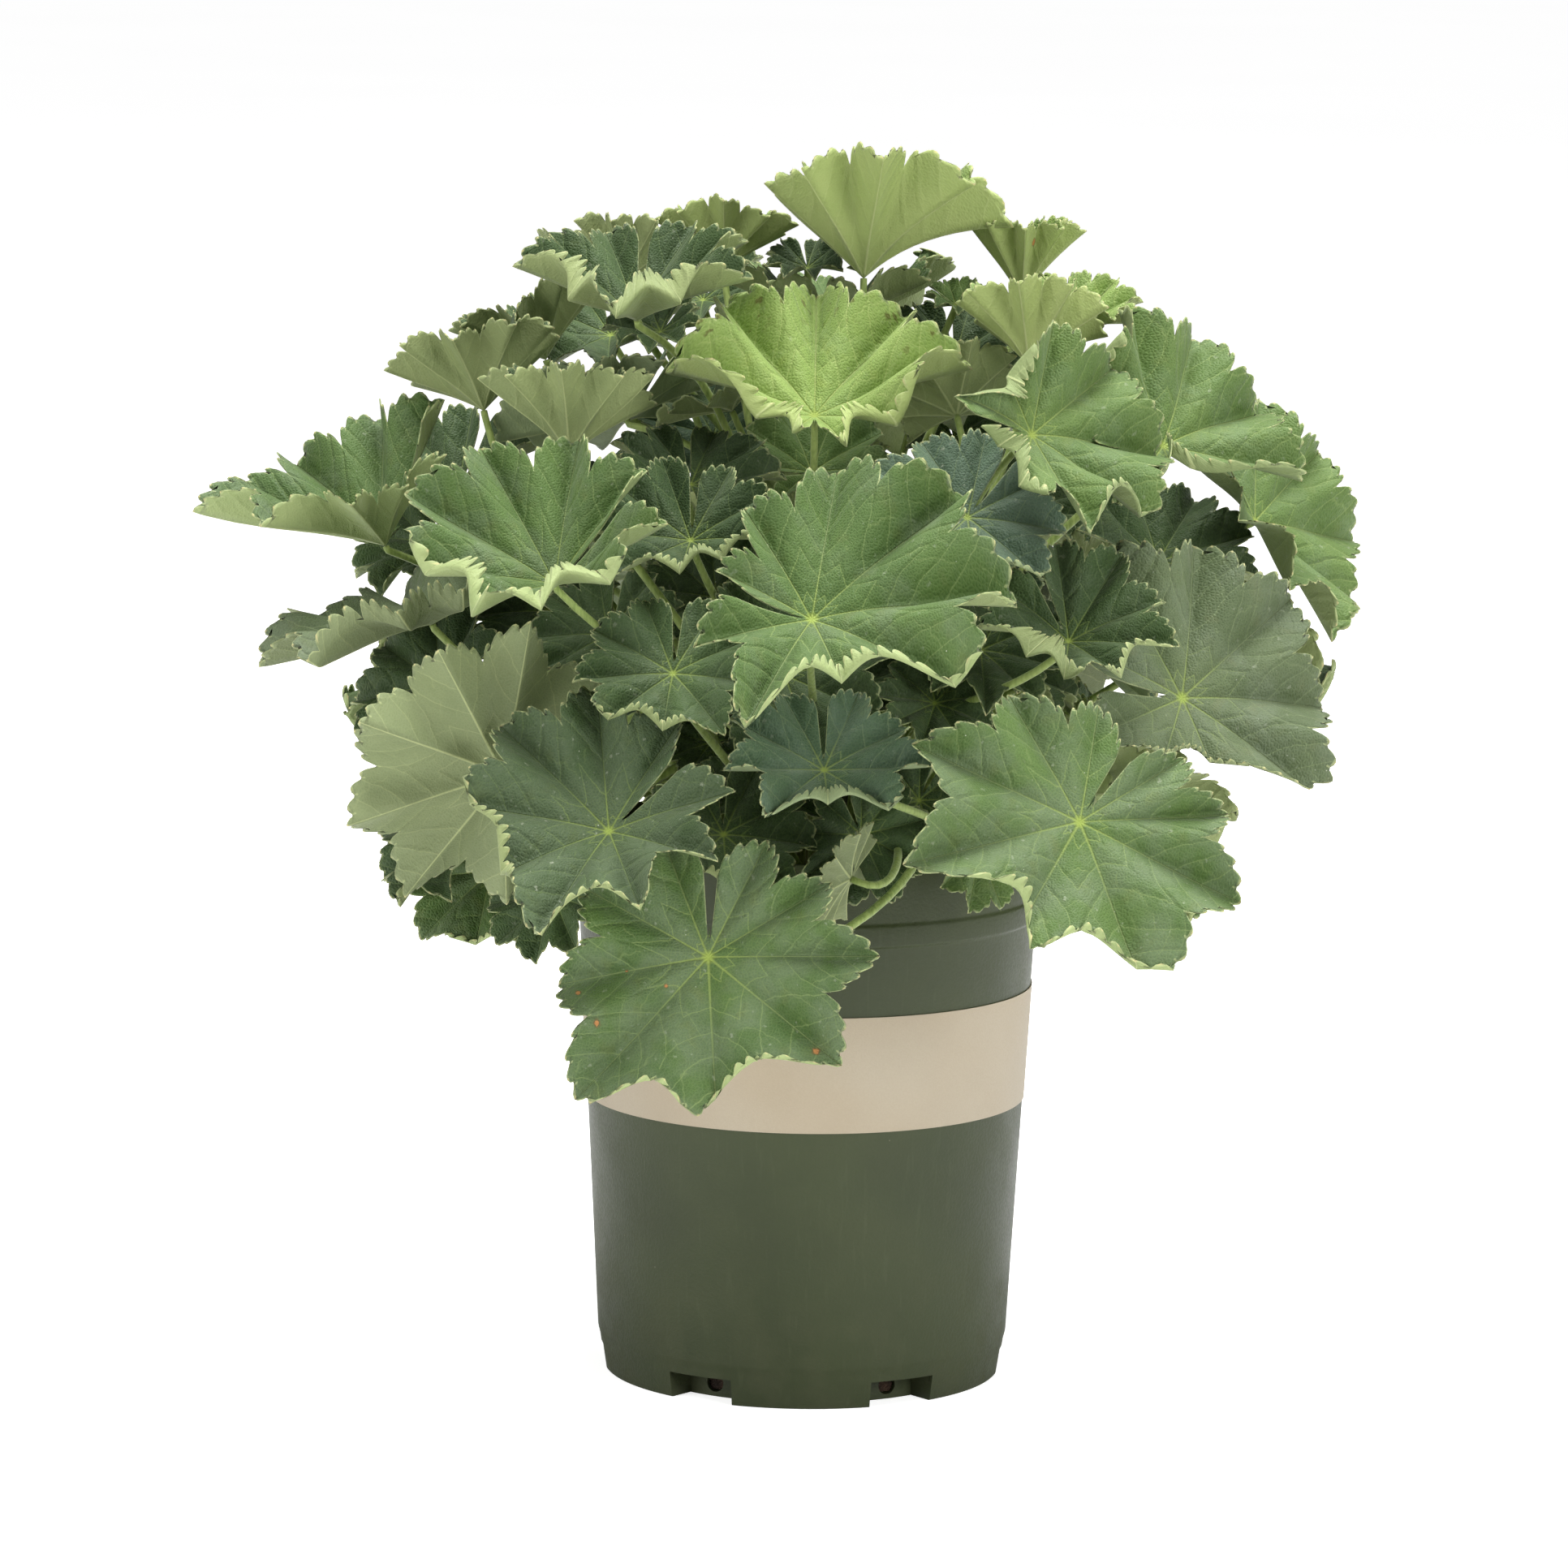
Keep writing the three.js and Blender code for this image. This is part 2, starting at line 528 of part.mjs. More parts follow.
  // Triangular rings, turned as little as possible from one to the next
  stalkRings() {
    const centres = this.stalkCentres();
    const ahead = this.ahead.clone();
    const axis = this.up.clone();
    return centres.map((centre, k) => {
      const before = centres[Math.max(0, k - 1)];
      const after = centres[Math.min(centres.length - 1, k + 1)];
      const heading = k === 0 ? this.up.clone() : before.clone().sub(after).normalize();
      if (k >= centres.length - 2) heading.set(0, 0, 1);
      ahead.applyQuaternion(new THREE.Quaternion().setFromUnitVectors(axis, heading));
      axis.copy(heading);
      const across = new THREE.Vector3().crossVectors(axis, ahead);
      const radius = lerp(STALK_TOP_RADIUS, STALK_FOOT_RADIUS, k / (centres.length - 1));
      return [-Math.PI, -Math.PI / 3, Math.PI / 3].map((angle) => centre.clone()
        .addScaledVector(ahead, radius * Math.cos(angle))
        .addScaledVector(across, radius * Math.sin(angle)));
    });
  }

  holeGeometry() {
    const last = this.stalkRings().at(-1);
    const shape = new THREE.Shape(last.map((corner) => {
      const out = corner.clone().sub(this.foot);
      const wide = out.length() + HOLE_WIDER;
      out.setLength(wide).add(this.foot);
      return new THREE.Vector2(out.x, out.y);
    }));
    return new THREE.ExtrudeGeometry(shape, { depth: 2 * STALK_DEPTH, bevelEnabled: false })
      .translate(0, 0, this.foot.z - GAP);
  }

  geometry() {
    const corners = [];
    const faces = [];
    const add = (point) => corners.push(point) - 1;
    const face = (a, b, c) => faces.push(a, b, c);

    // Fills the strip between two rows that both run the same way round
    const strip = (inner, outer, flip) => {
      let i = 0;
      let j = 0;
      const middle = (row, k) => (row[k].lobe + row[k + 1].lobe) / 2;
      while (i < inner.length - 1 || j < outer.length - 1) {
        const outerNext = j < outer.length - 1
          && (i === inner.length - 1 || middle(outer, j) <= middle(inner, i));
        const [a, b] = [inner[i].id, outer[j].id];
        const c = outerNext ? outer[j + 1].id : inner[i + 1].id;
        if (flip) face(a, c, b);
        else face(a, b, c);
        if (outerNext) j += 1;
        else i += 1;
      }
    };
    const laid = (places, side) => places.map(({ lobe, out }) => (
      { lobe, id: add(this.point(lobe, out, side)) }));

    const apexLobe = LOBES * (Math.PI / SPAN + 1) / 2;
    const apex = { lobe: apexLobe, out: SINUS_APEX };
    const sides = [1, -1].map((side) => ({
      rim: laid(this.rim(), side), ring: laid(this.ring(), side), apex: laid([apex], side)[0],
    }));
    const closedRing = ({ ring, apex: tip }) => [
      { lobe: LOBES - apexLobe, id: tip.id }, ...ring, { lobe: apexLobe, id: tip.id }];

    // Upper face, lower face and the thin wall round them
    const [upper, lower] = sides;
    const hub = { lobe: 0, id: add(this.hub.clone().addScaledVector(this.up, BLADE_THICK / 2)) };
    strip([hub], closedRing(upper), false);
    strip(upper.ring, upper.rim, false);
    strip(lower.ring, lower.rim, true);
    const edge = ({ rim, ring, apex: tip }) => [
      ...rim.map((c) => c.id), ring.at(-1).id, tip.id, ring[0].id];
    const [over, under] = [edge(upper), edge(lower)];
    over.forEach((p, k) => {
      const q = over[(k + 1) % over.length];
      const [low, lowNext] = [under[k], under[(k + 1) % under.length]];
      face(p, low, lowNext);
      face(p, lowNext, q);
    });

    // The stalk grows out of the lower face round the hub
    const rings = this.stalkRings().map((ring) => ring.map(add));
    const third = 2 * LOBES * Math.PI / SPAN / 6;
    const start = LOBES - apexLobe;
    const top = [0, 1, 2, 0].map((corner, k) => ({ lobe: start + k * third, id: rings[0][corner] }));
    strip(top, closedRing(lower), true);
    for (let k = 0; k + 1 < rings.length; k += 1) {
      for (let c = 0; c < 3; c += 1) {
        const d = (c + 1) % 3;
        face(rings[k][c], rings[k + 1][c], rings[k + 1][d]);
        face(rings[k][c], rings[k + 1][d], rings[k][d]);
      }
    }
    const foot = rings.at(-1);
    face(foot[0], foot[2], foot[1]);

    const geometry = new THREE.BufferGeometry().setFromPoints(corners);
    geometry.setIndex(faces);
    return geometry;
  }
}

// True within the pot's wall and rim, with room to spare
function insidePot(point) {
  const out = Math.hypot(point.x, point.y);
  return point.z < POT_HEIGHT + POT_CLEARANCE && out > outerRadius(point.z) - POT_WALL - POT_CLEARANCE
    && out < outerRadius(POT_HEIGHT) + POT_CLEARANCE;
}

function potCloud() {
  const points = [];
  const apart = CUBE / 2;
  for (let degrees = 0; degrees < 360; degrees += 3) {
    const [dx, dy] = [Math.cos(degToRad(degrees)), Math.sin(degToRad(degrees))];
    for (let z = 0; z < POT_HEIGHT; z += apart) {
      const out = outerRadius(Math.max(z, STEP_HEIGHT)) + 2 * LIP_PROUD;
      points.push(new THREE.Vector3(out * dx, out * dy, z));
    }
    for (let out = 0; out < outerRadius(POT_HEIGHT); out += apart) {
      points.push(new THREE.Vector3(out * dx, out * dy, POT_HEIGHT + LIP_PROUD));
    }
  }
  return points;
}

function backLeaves() {
  const rows = {};
  const uses = Object.keys(BACK_VARIES);
  BACK_TIERS.forEach((tier, level) => {
    for (let i = 0; i < tier.count; i += 1) {
      const seed = BACK_SEED + 10 * level + i;
      const vary = (what) => (
        BACK_VARIES[what] * (2 * draw(seed, BACK_FIRST_USE + uses.indexOf(what)) - 1));
      const step = tier.count > 1 ? i / (tier.count - 1) : 0.5;
      const degrees = lerp(tier.from, tier.to, step) + vary('bearing');
      const [dx, dy] = [Math.sin(degToRad(degrees)), -Math.cos(degToRad(degrees))];
      const out = Math.min(tier.out + vary('out'), (tier.widest - FOLIAGE_SHARE * tier.reach) / Math.abs(dx));
      const shape = Object.entries(BACK_SHAPE).map(([what, size]) => (
        size + (what in BACK_VARIES ? vary(what) : 0)));
      rows[`back_${level + 1}${i + 1}`] = [
        out * dx, out * dy, tier.height + vary('height'), degrees + vary('facing'),
        tier.rise + vary('rise'), vary('turn'), tier.reach + vary('reach'), ...shape,
        BACK_TONES[(level + i) % BACK_TONES.length], false];
    }
  });
  return rows;
}

// Steep, inner leaves take the middle of the crown and spreading ones its outside
function giveFeet(leaves) {
  const steepness = (leaf) => (leaf.z - SOIL_HEIGHT) / Math.hypot(leaf.x, leaf.y, 1);
  const bearing = (leaf) => Math.atan2(leaf.y, leaf.x);
  const inOrder = [...leaves].sort((a, b) => steepness(b) - steepness(a));
  for (const { radius, places } of CROWN_RINGS) {
    const group = inOrder.splice(0, places).sort((a, b) => bearing(a) - bearing(b));
    const turns = group.map((leaf, i) => bearing(leaf) - 2 * Math.PI * i / group.length);
    const start = turns.reduce((sum, turn) => sum + turn, 0) / group.length;
    group.forEach((leaf, i) => {
      const angle = start + 2 * Math.PI * i / group.length;
      const [x, y] = [radius * Math.cos(angle), radius * Math.sin(angle)];
      leaf.foot = new THREE.Vector3(x, y, soilLevel(x, y) - STALK_DEPTH);
    });
  }
}

// Each leaf in turn is set back or forward along the line of sight until it clears the others
function setApart(leaves, crowd) {
  const back = new THREE.Vector3(0, Math.cos(SIGHT_DROP), -Math.sin(SIGHT_DROP));
  for (const leaf of leaves) {
    const points = leaf.cloud();
    let [best, least] = [0, Infinity];
    for (let step = 0; step <= MOST_STEPS && least > 0; step += 1) {
      for (const shift of [MOVE_STEP * step, -MOVE_STEP * step]) {
        const move = back.clone().multiplyScalar(shift);
        const met = least > 0 ? crowd.meets(points, BLADE_HALF, { move, limit: least }) : 1;
        if (met < least) [best, least] = [shift, met];
      }
    }
    leaf.hub.addScaledVector(back, best);
    crowd.add(leaf.cloud(), leaf.name, BLADE_HALF);
  }
}

// The stalks take their bends one after another; those that find none clear go first next time
function bendStalks(leaves) {
  let order = leaves;
  for (let round = 0; round < MOST_ROUNDS; round += 1) {
    const standing = new Crowd();
    for (const leaf of leaves) standing.add(leaf.cloud(), leaf.name, BLADE_HALF);
    for (const leaf of order) {
      leaf.bendClear(standing);
      standing.add(leaf.stalkCloud(), `${leaf.name} stalk`, STALK_HALF);
    }
    const blocked = order.filter((leaf) => leaf.met > 0);
    if (blocked.length === 0) break;
    order = [...blocked, ...order.filter((leaf) => leaf.met === 0)];
  }
}

function growLeaves() {
  const rows = Object.entries({ ...FRONT_LEAVES, ...backLeaves() });
  const leaves = rows.map(([name, row], i) => new Leaf(`leaf_${name}`, row, i + 1));
  const crowd = new Crowd();
  crowd.add(potCloud(), 'pot', LIP_PROUD);
  setApart(leaves, crowd);
  giveFeet(leaves);
  bendStalks(leaves);
  return leaves;
}

function named(name, geometry, material) {
  const mesh = new THREE.Mesh(geometry, material);
  mesh.name = name;
  return mesh;
}

const plant = new THREE.Group();
const leaves = growLeaves();
plant.add(named('pot', potGeometry(), POT_PLASTIC));
plant.add(named('label_band', bandGeometry(), BAND_PRINT));
plant.add(named('soil', soilGeometry(leaves), SOIL_CRUMB));
for (const leaf of leaves) plant.add(named(leaf.name, leaf.geometry(), TONES[leaf.tone]));

export default plant;
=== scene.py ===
"""Lady's mantle in a nursery pot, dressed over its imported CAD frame.

The frame gives every leaf's place and the way of its stalk. This script draws each leaf again as
a thin toothed blade on a round stalk, adds veins, hairs and dust, and makes the pot, its bare
band and the soil at full roundness. It adds small leaves inside the mound and over the rim.
Metres throughout; sizes of the plant are written in millimetres and turned into metres where the
meshes are made.
"""
from __future__ import annotations

import json
import logging
import math
from abc import ABC, abstractmethod
from collections.abc import Iterable, Sequence
from dataclasses import dataclass, field, replace
from enum import Enum
from typing import ClassVar

import bmesh
import bpy
import numpy as np
from mathutils import Matrix, Vector
from mathutils.kdtree import KDTree

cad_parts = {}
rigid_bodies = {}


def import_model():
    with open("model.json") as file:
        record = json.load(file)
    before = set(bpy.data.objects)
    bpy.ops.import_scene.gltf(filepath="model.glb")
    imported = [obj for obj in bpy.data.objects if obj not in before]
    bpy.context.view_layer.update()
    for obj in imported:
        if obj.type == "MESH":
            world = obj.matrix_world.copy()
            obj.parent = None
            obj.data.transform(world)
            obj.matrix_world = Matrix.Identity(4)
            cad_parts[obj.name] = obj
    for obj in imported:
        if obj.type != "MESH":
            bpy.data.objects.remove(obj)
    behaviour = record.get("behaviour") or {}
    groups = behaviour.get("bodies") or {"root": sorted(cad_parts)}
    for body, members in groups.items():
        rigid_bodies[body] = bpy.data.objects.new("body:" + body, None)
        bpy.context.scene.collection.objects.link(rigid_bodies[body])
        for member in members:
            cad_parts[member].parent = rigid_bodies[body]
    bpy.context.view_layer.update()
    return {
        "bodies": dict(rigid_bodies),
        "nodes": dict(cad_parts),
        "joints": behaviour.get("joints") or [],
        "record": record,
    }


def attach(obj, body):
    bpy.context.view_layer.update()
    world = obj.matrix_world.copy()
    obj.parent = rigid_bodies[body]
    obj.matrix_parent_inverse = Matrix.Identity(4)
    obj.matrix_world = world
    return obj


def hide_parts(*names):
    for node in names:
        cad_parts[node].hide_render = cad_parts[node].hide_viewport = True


LOG = logging.getLogger("ladys_mantle")

MM = 0.001
BODY = "root"
ORIGIN = (0.0, 0.0, 0.0)

Array = np.ndarray
Material = bpy.types.Material
Node = bpy.types.Node
Piece = bpy.types.Object
Shape = bmesh.types.BMesh
Socket = bpy.types.NodeSocket
Tree = bpy.types.NodeTree
Colour = tuple[float, float, float, float]
Place = tuple[float, float, float]
HairRoots = tuple[Array, Array]


def paint(red: int, green: int, blue: int) -> Colour:
    """A colour as Blender mixes it, from the 0 to 255 values that a screen shows.

    Args:
        red: Red value on the screen.
        green: Green value on the screen.
        blue: Blue value on the screen.

    Returns:
        The linear colour, opaque.
    """
    shown = [value / 255 for value in (red, green, blue)]
    linear = [c / 12.92 if c <= 0.04045 else ((c + 0.055) / 1.055) ** 2.4 for c in shown]
    return (linear[0], linear[1], linear[2], 1.0)


def draw(seed: int, use: int) -> float:
    """A fraction of 0 to 1, always the same for a seed and a use, and evenly spread."""
    value = math.sin(seed * 12.9898 + use * 78.233) * 43758.5453
    return value - math.floor(value)


def vary(amount: float, seed: int, use: int) -> float:
    """A seeded amount either way, at most the one given."""
    return amount * (2 * draw(seed, use) - 1)


# Shader and geometry node wiring


class Signal:
    """A value in a node tree. Sums with it are written as sums and become nodes."""

    def __init__(self, wiring: Wiring, socket: Socket) -> None:
        """Keeps the socket that the value comes out of, and its tree."""
        self.wiring, self.socket = wiring, socket

    def __add__(self, other: Feed) -> Signal:
        """The sum."""
        return self.wiring.math("ADD", self, other)

    def __sub__(self, other: Feed) -> Signal:
        """This less the other."""
        return self.wiring.math("SUBTRACT", self, other)

    def __mul__(self, other: Feed) -> Signal:
        """The product."""
        return self.wiring.math("MULTIPLY", self, other)

    def __truediv__(self, other: Feed) -> Signal:
        """This divided by the other."""
        return self.wiring.math("DIVIDE", self, other)

    def rising(self, low: float, high: float) -> Signal:
        """A smooth step.

        Args:
            low: Where the step is still 0.
            high: Where it has reached 1, above that or below it.

        Returns:
            The step's height.
        """
        feeds = {"Value": self, "From Min": min(low, high), "From Max": max(low, high)}
        if low > high:
            feeds |= {"To Min": 1.0, "To Max": 0.0}
        return self.wiring.read("Result", "ShaderNodeMapRange", feeds, interpolation_type="SMOOTHSTEP")


Feed = Signal | Socket | Material | float | tuple[float, ...]


class Wiring:
    """A node tree, with short ways to add nodes and to join them."""

    def __init__(self, tree: Tree) -> None:
        """Keeps the tree that nodes are added to."""
        self.tree = tree

    @classmethod
    def group(cls, name: str, kind: str, inputs: dict[str, float | tuple[float, ...] | None],
              outputs: Sequence[str]) -> Wiring:
        """Starts a node group.

        Args:
            name: The group's name.
            kind: Blender's name for its sort of tree.
            inputs: Its inputs' values by name, None for a geometry.
            outputs: Its outputs' names: numbers in a shader's group, else geometry.

        Returns:
            Its wiring, with nothing joined yet.
        """
        tree = bpy.data.node_groups.new(name, kind)
        for key, value in inputs.items():
            sort = "Geometry" if value is None else "Vector" if isinstance(value, tuple) else "Float"
            socket = tree.interface.new_socket(name=key, in_out="INPUT", socket_type=f"NodeSocket{sort}")
            if value is not None:
                socket.default_value = value
        sort = "Float" if kind == "ShaderNodeTree" else "Geometry"
        for key in outputs:
            tree.interface.new_socket(name=key, in_out="OUTPUT", socket_type=f"NodeSocket{sort}")
        return cls(tree)

    def add(self, kind: str, feeds: dict[str | int, Feed] | None = None, **settings: object) -> Node:
        """Adds a node.

        Args:
            kind: Blender's name for the sort of node.
            feeds: What its inputs get, by name or number.
            settings: Properties to set on it.

        Returns:
            The new node.
        """
        node = self.tree.nodes.new(kind)
        for name, value in settings.items():
            setattr(node, name, value)
        self.feed(node, feeds or {})
        return node

    def feed(self, node: Node, feeds: dict[str | int, Feed]) -> None:
        """Joins outputs to a node's inputs, or sets plain values on them.

        Args:
            node: The node.
            feeds: What its inputs get, by name or number.
        """
        for key, value in feeds.items():
            source = value.socket if isinstance(value, Signal) else value
            if isinstance(source, Socket):
                self.tree.links.new(source, node.inputs[key])
            else:
                node.inputs[key].default_value = source

    def read(self, output: str | int, kind: str, feeds: dict[str | int, Feed] | None = None,
             **settings: object) -> Signal:
        """Adds a node and takes one of its outputs, by name or number."""
        return Signal(self, self.add(kind, feeds, **settings).outputs[output])

    def math(self, operation: str, *values: Feed, clamp: bool = False) -> Signal:
        """One of Blender's sums, by its name. Clamping keeps it within 0 to 1."""
        return self.read(0, "ShaderNodeMath", dict(enumerate(values)), operation=operation, use_clamp=clamp)

    def blend(self, share: Feed, under: Feed, over: Feed) -> Signal:
        """One colour laid over another by a share of 0 to 1."""
        return self.read(2, "ShaderNodeMix", {0: share, 6: under, 7: over}, data_type="RGBA")

    def attribute(self, name: str, output: str = "Fac") -> Signal:
        """An attribute of the mesh, as one of the node's outputs."""
        return self.read(output, "ShaderNodeAttribute", attribute_name=name)

    def place(self) -> Signal:
        """The place on the object, in metres."""
        return self.read("Object", "ShaderNodeTexCoord")

    def stretched(self, place: Signal, scale: Place) -> Signal:
        """A place with each axis multiplied by its own factor."""
        return self.read("Vector", "ShaderNodeMapping", {"Vector": place, "Scale": scale})

    def noise(self, place: Signal, scale: Feed, detail: float = 3.0) -> Signal:
        """Soft clouds around 0.5: their number to a unit of length, and their finer layers."""
        return self.read("Fac", "ShaderNodeTexNoise", {"Vector": place, "Scale": scale, "Detail": detail})

    def cells(self, place: Signal, apart: Signal, feature: str, space: str = "3D") -> Node:
        """Cells about scattered points so far apart, as a node that measures the feature."""
        steps = self.read("Vector", "ShaderNodeVectorMath",
                          {"Vector": place, "Scale": self.math("DIVIDE", 1.0, apart)}, operation="SCALE")
        return self.add("ShaderNodeTexVoronoi", {"Vector": steps, "Scale": 1.0}, feature=feature,
                        voronoi_dimensions=space)

    def bump(self, height: Signal, deep: float, strength: float = 1.0) -> Signal:
        """The normal over a height of 0 to 1 that is so many metres deep."""
        feeds = {"Height": height, "Distance": deep, "Strength": strength}
        return self.read("Normal", "ShaderNodeBump", feeds)

    def effect(self, group: Effect, **given: Feed) -> dict[str, Signal]:
        """Places a shared effect.

        Args:
            group: The effect.
            given: What its inputs get, by name with spaces as underscores.

        Returns:
            Its outputs by name.
        """
        feeds = {name.replace("_", " "): value for name, value in given.items()}
        node = self.add("ShaderNodeGroup", feeds, node_tree=group.tree())
        return {socket.name: Signal(self, socket) for socket in node.outputs}

    def random(self, low: float | tuple[float, ...], high: float | tuple[float, ...], seed: int) -> Feed:
        """A seeded number or vector for each point.

        Args:
            low: Its least value.
            high: Its greatest value.
            seed: The seed.

        Returns:
            The output.
        """
        kind, sort = ("FLOAT_VECTOR", "VECTOR") if isinstance(low, tuple) else ("FLOAT", "VALUE")
        node = self.add("FunctionNodeRandomValue", {"Seed": seed}, data_type=kind)
        ends = [socket for socket in node.inputs if socket.type == sort]
        ends[0].default_value, ends[1].default_value = low, high
        return next(socket for socket in node.outputs if socket.type == sort)

    def stand(self, piece: Feed, points: Feed, scale: Feed, rotation: Feed) -> Signal:
        """Stands a copy of a piece on each point."""
        feeds = {"Instance": piece, "Points": points, "Scale": scale, "Rotation": rotation}
        return self.read("Instances", "GeometryNodeInstanceOnPoints", feeds)

    def finished(self, geometry: Feed, material: Material, output: str) -> Tree:
        """Ends a geometry group: makes its instances real and gives them their finish.

        Args:
            geometry: What the group has made.
            material: The finish.
            output: The group output's name.

        Returns:
            The group's tree.
        """
        real = self.read("Geometry", "GeometryNodeRealizeInstances", {"Geometry": geometry})
        dressed = self.read("Geometry", "GeometryNodeSetMaterial", {"Geometry": real, "Material": material})
        self.add("NodeGroupOutput", {output: dressed})
        return self.tree


class Effect(ABC):
    """A look that several materials share, kept as one shader node group."""

    name: str
    inputs: dict[str, float | Place]
    outputs: tuple[str, ...]

    def tree(self) -> Tree:
        """The group, built the first time it is asked for.

        Returns:
            The node tree.
        """
        if self.name in bpy.data.node_groups:
            return bpy.data.node_groups[self.name]
        wiring = Wiring.group(self.name, "ShaderNodeTree", self.inputs, self.outputs)
        sockets = wiring.add("NodeGroupInput").outputs
        given = {name: Signal(wiring, sockets[name]) for name in self.inputs}
        wiring.add("NodeGroupOutput", self.wire(wiring, given))
        return wiring.tree

    @abstractmethod
    def wire(self, wiring: Wiring, given: dict[str, Signal]) -> dict[str, Signal]:
        """Adds the group's nodes.

        Args:
            wiring: The group's tree.
            given: The group's inputs by name.

        Returns:
            What feeds each output, by name.
        """


class LeafVeins(Effect):
    """Main veins down the lobes, side veins that leave them at a slant, forks and a net."""

    name = "leaf_veins"
    inputs = {"Along": 0.0, "Aside": 0.0, "Share": 0.0, "Flat": ORIGIN, "Spacing": 10.5, "Net Size": 1.15}
    outputs = ("Main", "Side", "Fork", "Net", "Swell")
    middle: float = 0.5
    slant: float = 0.85
    half_main: float = 0.45
    thinner: float = 0.32

    def line(self, place: Signal, spacing: Signal, half: float, blur: float) -> tuple[Signal, Signal]:
        """Evenly spaced lines.

        Args:
            place: What they are counted along, in millimetres.
            spacing: From one line to the next.
            half: Half the width of a line.
            blur: How far out it fades.

        Returns:
            The lines' mask, and the distance from the nearest.
        """
        wiring = place.wiring
        phase = wiring.math("FRACT", place / spacing)
        away = wiring.math("ABSOLUTE", phase - self.middle) * spacing * self.slant
        return away.rising(half + blur, half), away

    def wire(self, wiring: Wiring, given: dict[str, Signal]) -> dict[str, Signal]:
        """Draws the veins.

        Args:
            wiring: The group's tree.
            given: Lengths along and aside of the main vein, the share of the reach, the place in
                the blade's plane, the side veins' spacing and the net's size.

        Returns:
            Masks of the veins, and how far the blade swells between them.
        """
        along, aside, flat, spacing = given["Along"], given["Aside"], given["Flat"], given["Spacing"]
        bent = wiring.noise(flat, 0.04, detail=0.0) - self.middle
        crooked = wiring.noise(flat, 0.25, detail=1.0) - self.middle
        wander = crooked * 1.8 + bent * 12.0

        # The main vein grows thinner from the hub to the tip
        main = (aside / (given["Share"] * -self.thinner + self.half_main)).rising(1.6, 0.4)

        # Side veins lean forward, and forks leave them the other way
        leaning = wiring.math("POWER", aside, 1.2) * 0.62
        side, side_away = self.line(along + wander - leaning, spacing, 0.06, 0.26)
        fork, fork_away = self.line(wander * 1.3 + (aside * 0.9 + along * 0.35), spacing * 0.52, 0.03, 0.24)
        some = wiring.noise(flat, 0.13, detail=0.0).rising(0.44, 0.54)
        cells = wiring.cells(flat, given["Net Size"], "DISTANCE_TO_EDGE", "2D")
        net = Signal(wiring, cells.outputs["Distance"])

        # The blade swells between the veins
        near = wiring.math("MINIMUM", aside * 0.6, side_away)
        swell = near.rising(0.0, 2.4) * 0.6 + net.rising(0.0, 0.4) * 0.16
        swell = swell + fork_away.rising(0.0, 1.2) * 0.14
        return {"Main": main, "Side": side, "Fork": fork * some * aside.rising(1.5, 4.0),
                "Net": net.rising(0.2, 0.02), "Swell": swell}


class Specks(Effect):
    """Scattered small spots, such as dust or grit."""

    name = "specks"
    inputs = {"Place": ORIGIN, "Apart": 0.004, "Share": 0.3, "Size": 0.12}
    outputs = ("Speck",)

    def wire(self, wiring: Wiring, given: dict[str, Signal]) -> dict[str, Signal]:
        """Draws a spot in some of the cells.

        Args:
            wiring: The group's tree.
            given: The place, the cells' distance, the share of them with a spot, and its size.

        Returns:
            The spots' mask.
        """
        cells = wiring.cells(given["Place"], given["Apart"], "F1").outputs
        drawn = wiring.add("ShaderNodeSeparateColor", {"Color": cells["Color"]}).outputs
        size = given["Size"] * (Signal(wiring, drawn["Green"]) * 0.8 + 0.4)
        chosen = wiring.math("LESS_THAN", drawn["Red"], given["Share"])
        return {"Speck": chosen * wiring.math("LESS_THAN", cells["Distance"], size)}


class Mottle(Effect):
    """Broad clouds with finer ones in them, for uneven colour."""

    name = "mottle"
    inputs = {"Place": ORIGIN, "Broad": 40.0, "Fine": 260.0}
    outputs = ("Cloud", "Grain")

    def wire(self, wiring: Wiring, given: dict[str, Signal]) -> dict[str, Signal]:
        """Draws both, as strengths of 0 to 1."""
        return {out: wiring.noise(given["Place"], given[scale], detail=2.0).rising(0.3, 0.7)
                for out, scale in (("Cloud", "Broad"), ("Grain", "Fine"))}


class Scuffs(Effect):
    """Fine upright rubs and a bloom of dust that thickens towards the foot."""

    name = "scuffs"
    inputs = {"Place": ORIGIN, "Dusty Below": 0.05}
    outputs = ("Rub", "Dust")

    def wire(self, wiring: Wiring, given: dict[str, Signal]) -> dict[str, Signal]:
        """Draws both.

        Args:
            wiring: The group's tree.
            given: The place, and the height in metres below which dust thickens.

        Returns:
            Their masks.
        """
        place = given["Place"]
        upright = wiring.stretched(place, (1.0, 1.0, 0.12))
        height = wiring.read("Z", "ShaderNodeSeparateXYZ", {"Vector": place}) / given["Dusty Below"]
        low = wiring.math("SUBTRACT", 1.0, height, clamp=True)
        patches = wiring.noise(place, 60.0, detail=5.0).rising(0.38, 0.68)
        return {"Rub": wiring.noise(upright, 420.0, detail=4.0).rising(0.56, 0.74),
                "Dust": patches * (low * 0.7 + 0.25)}


# Finishes


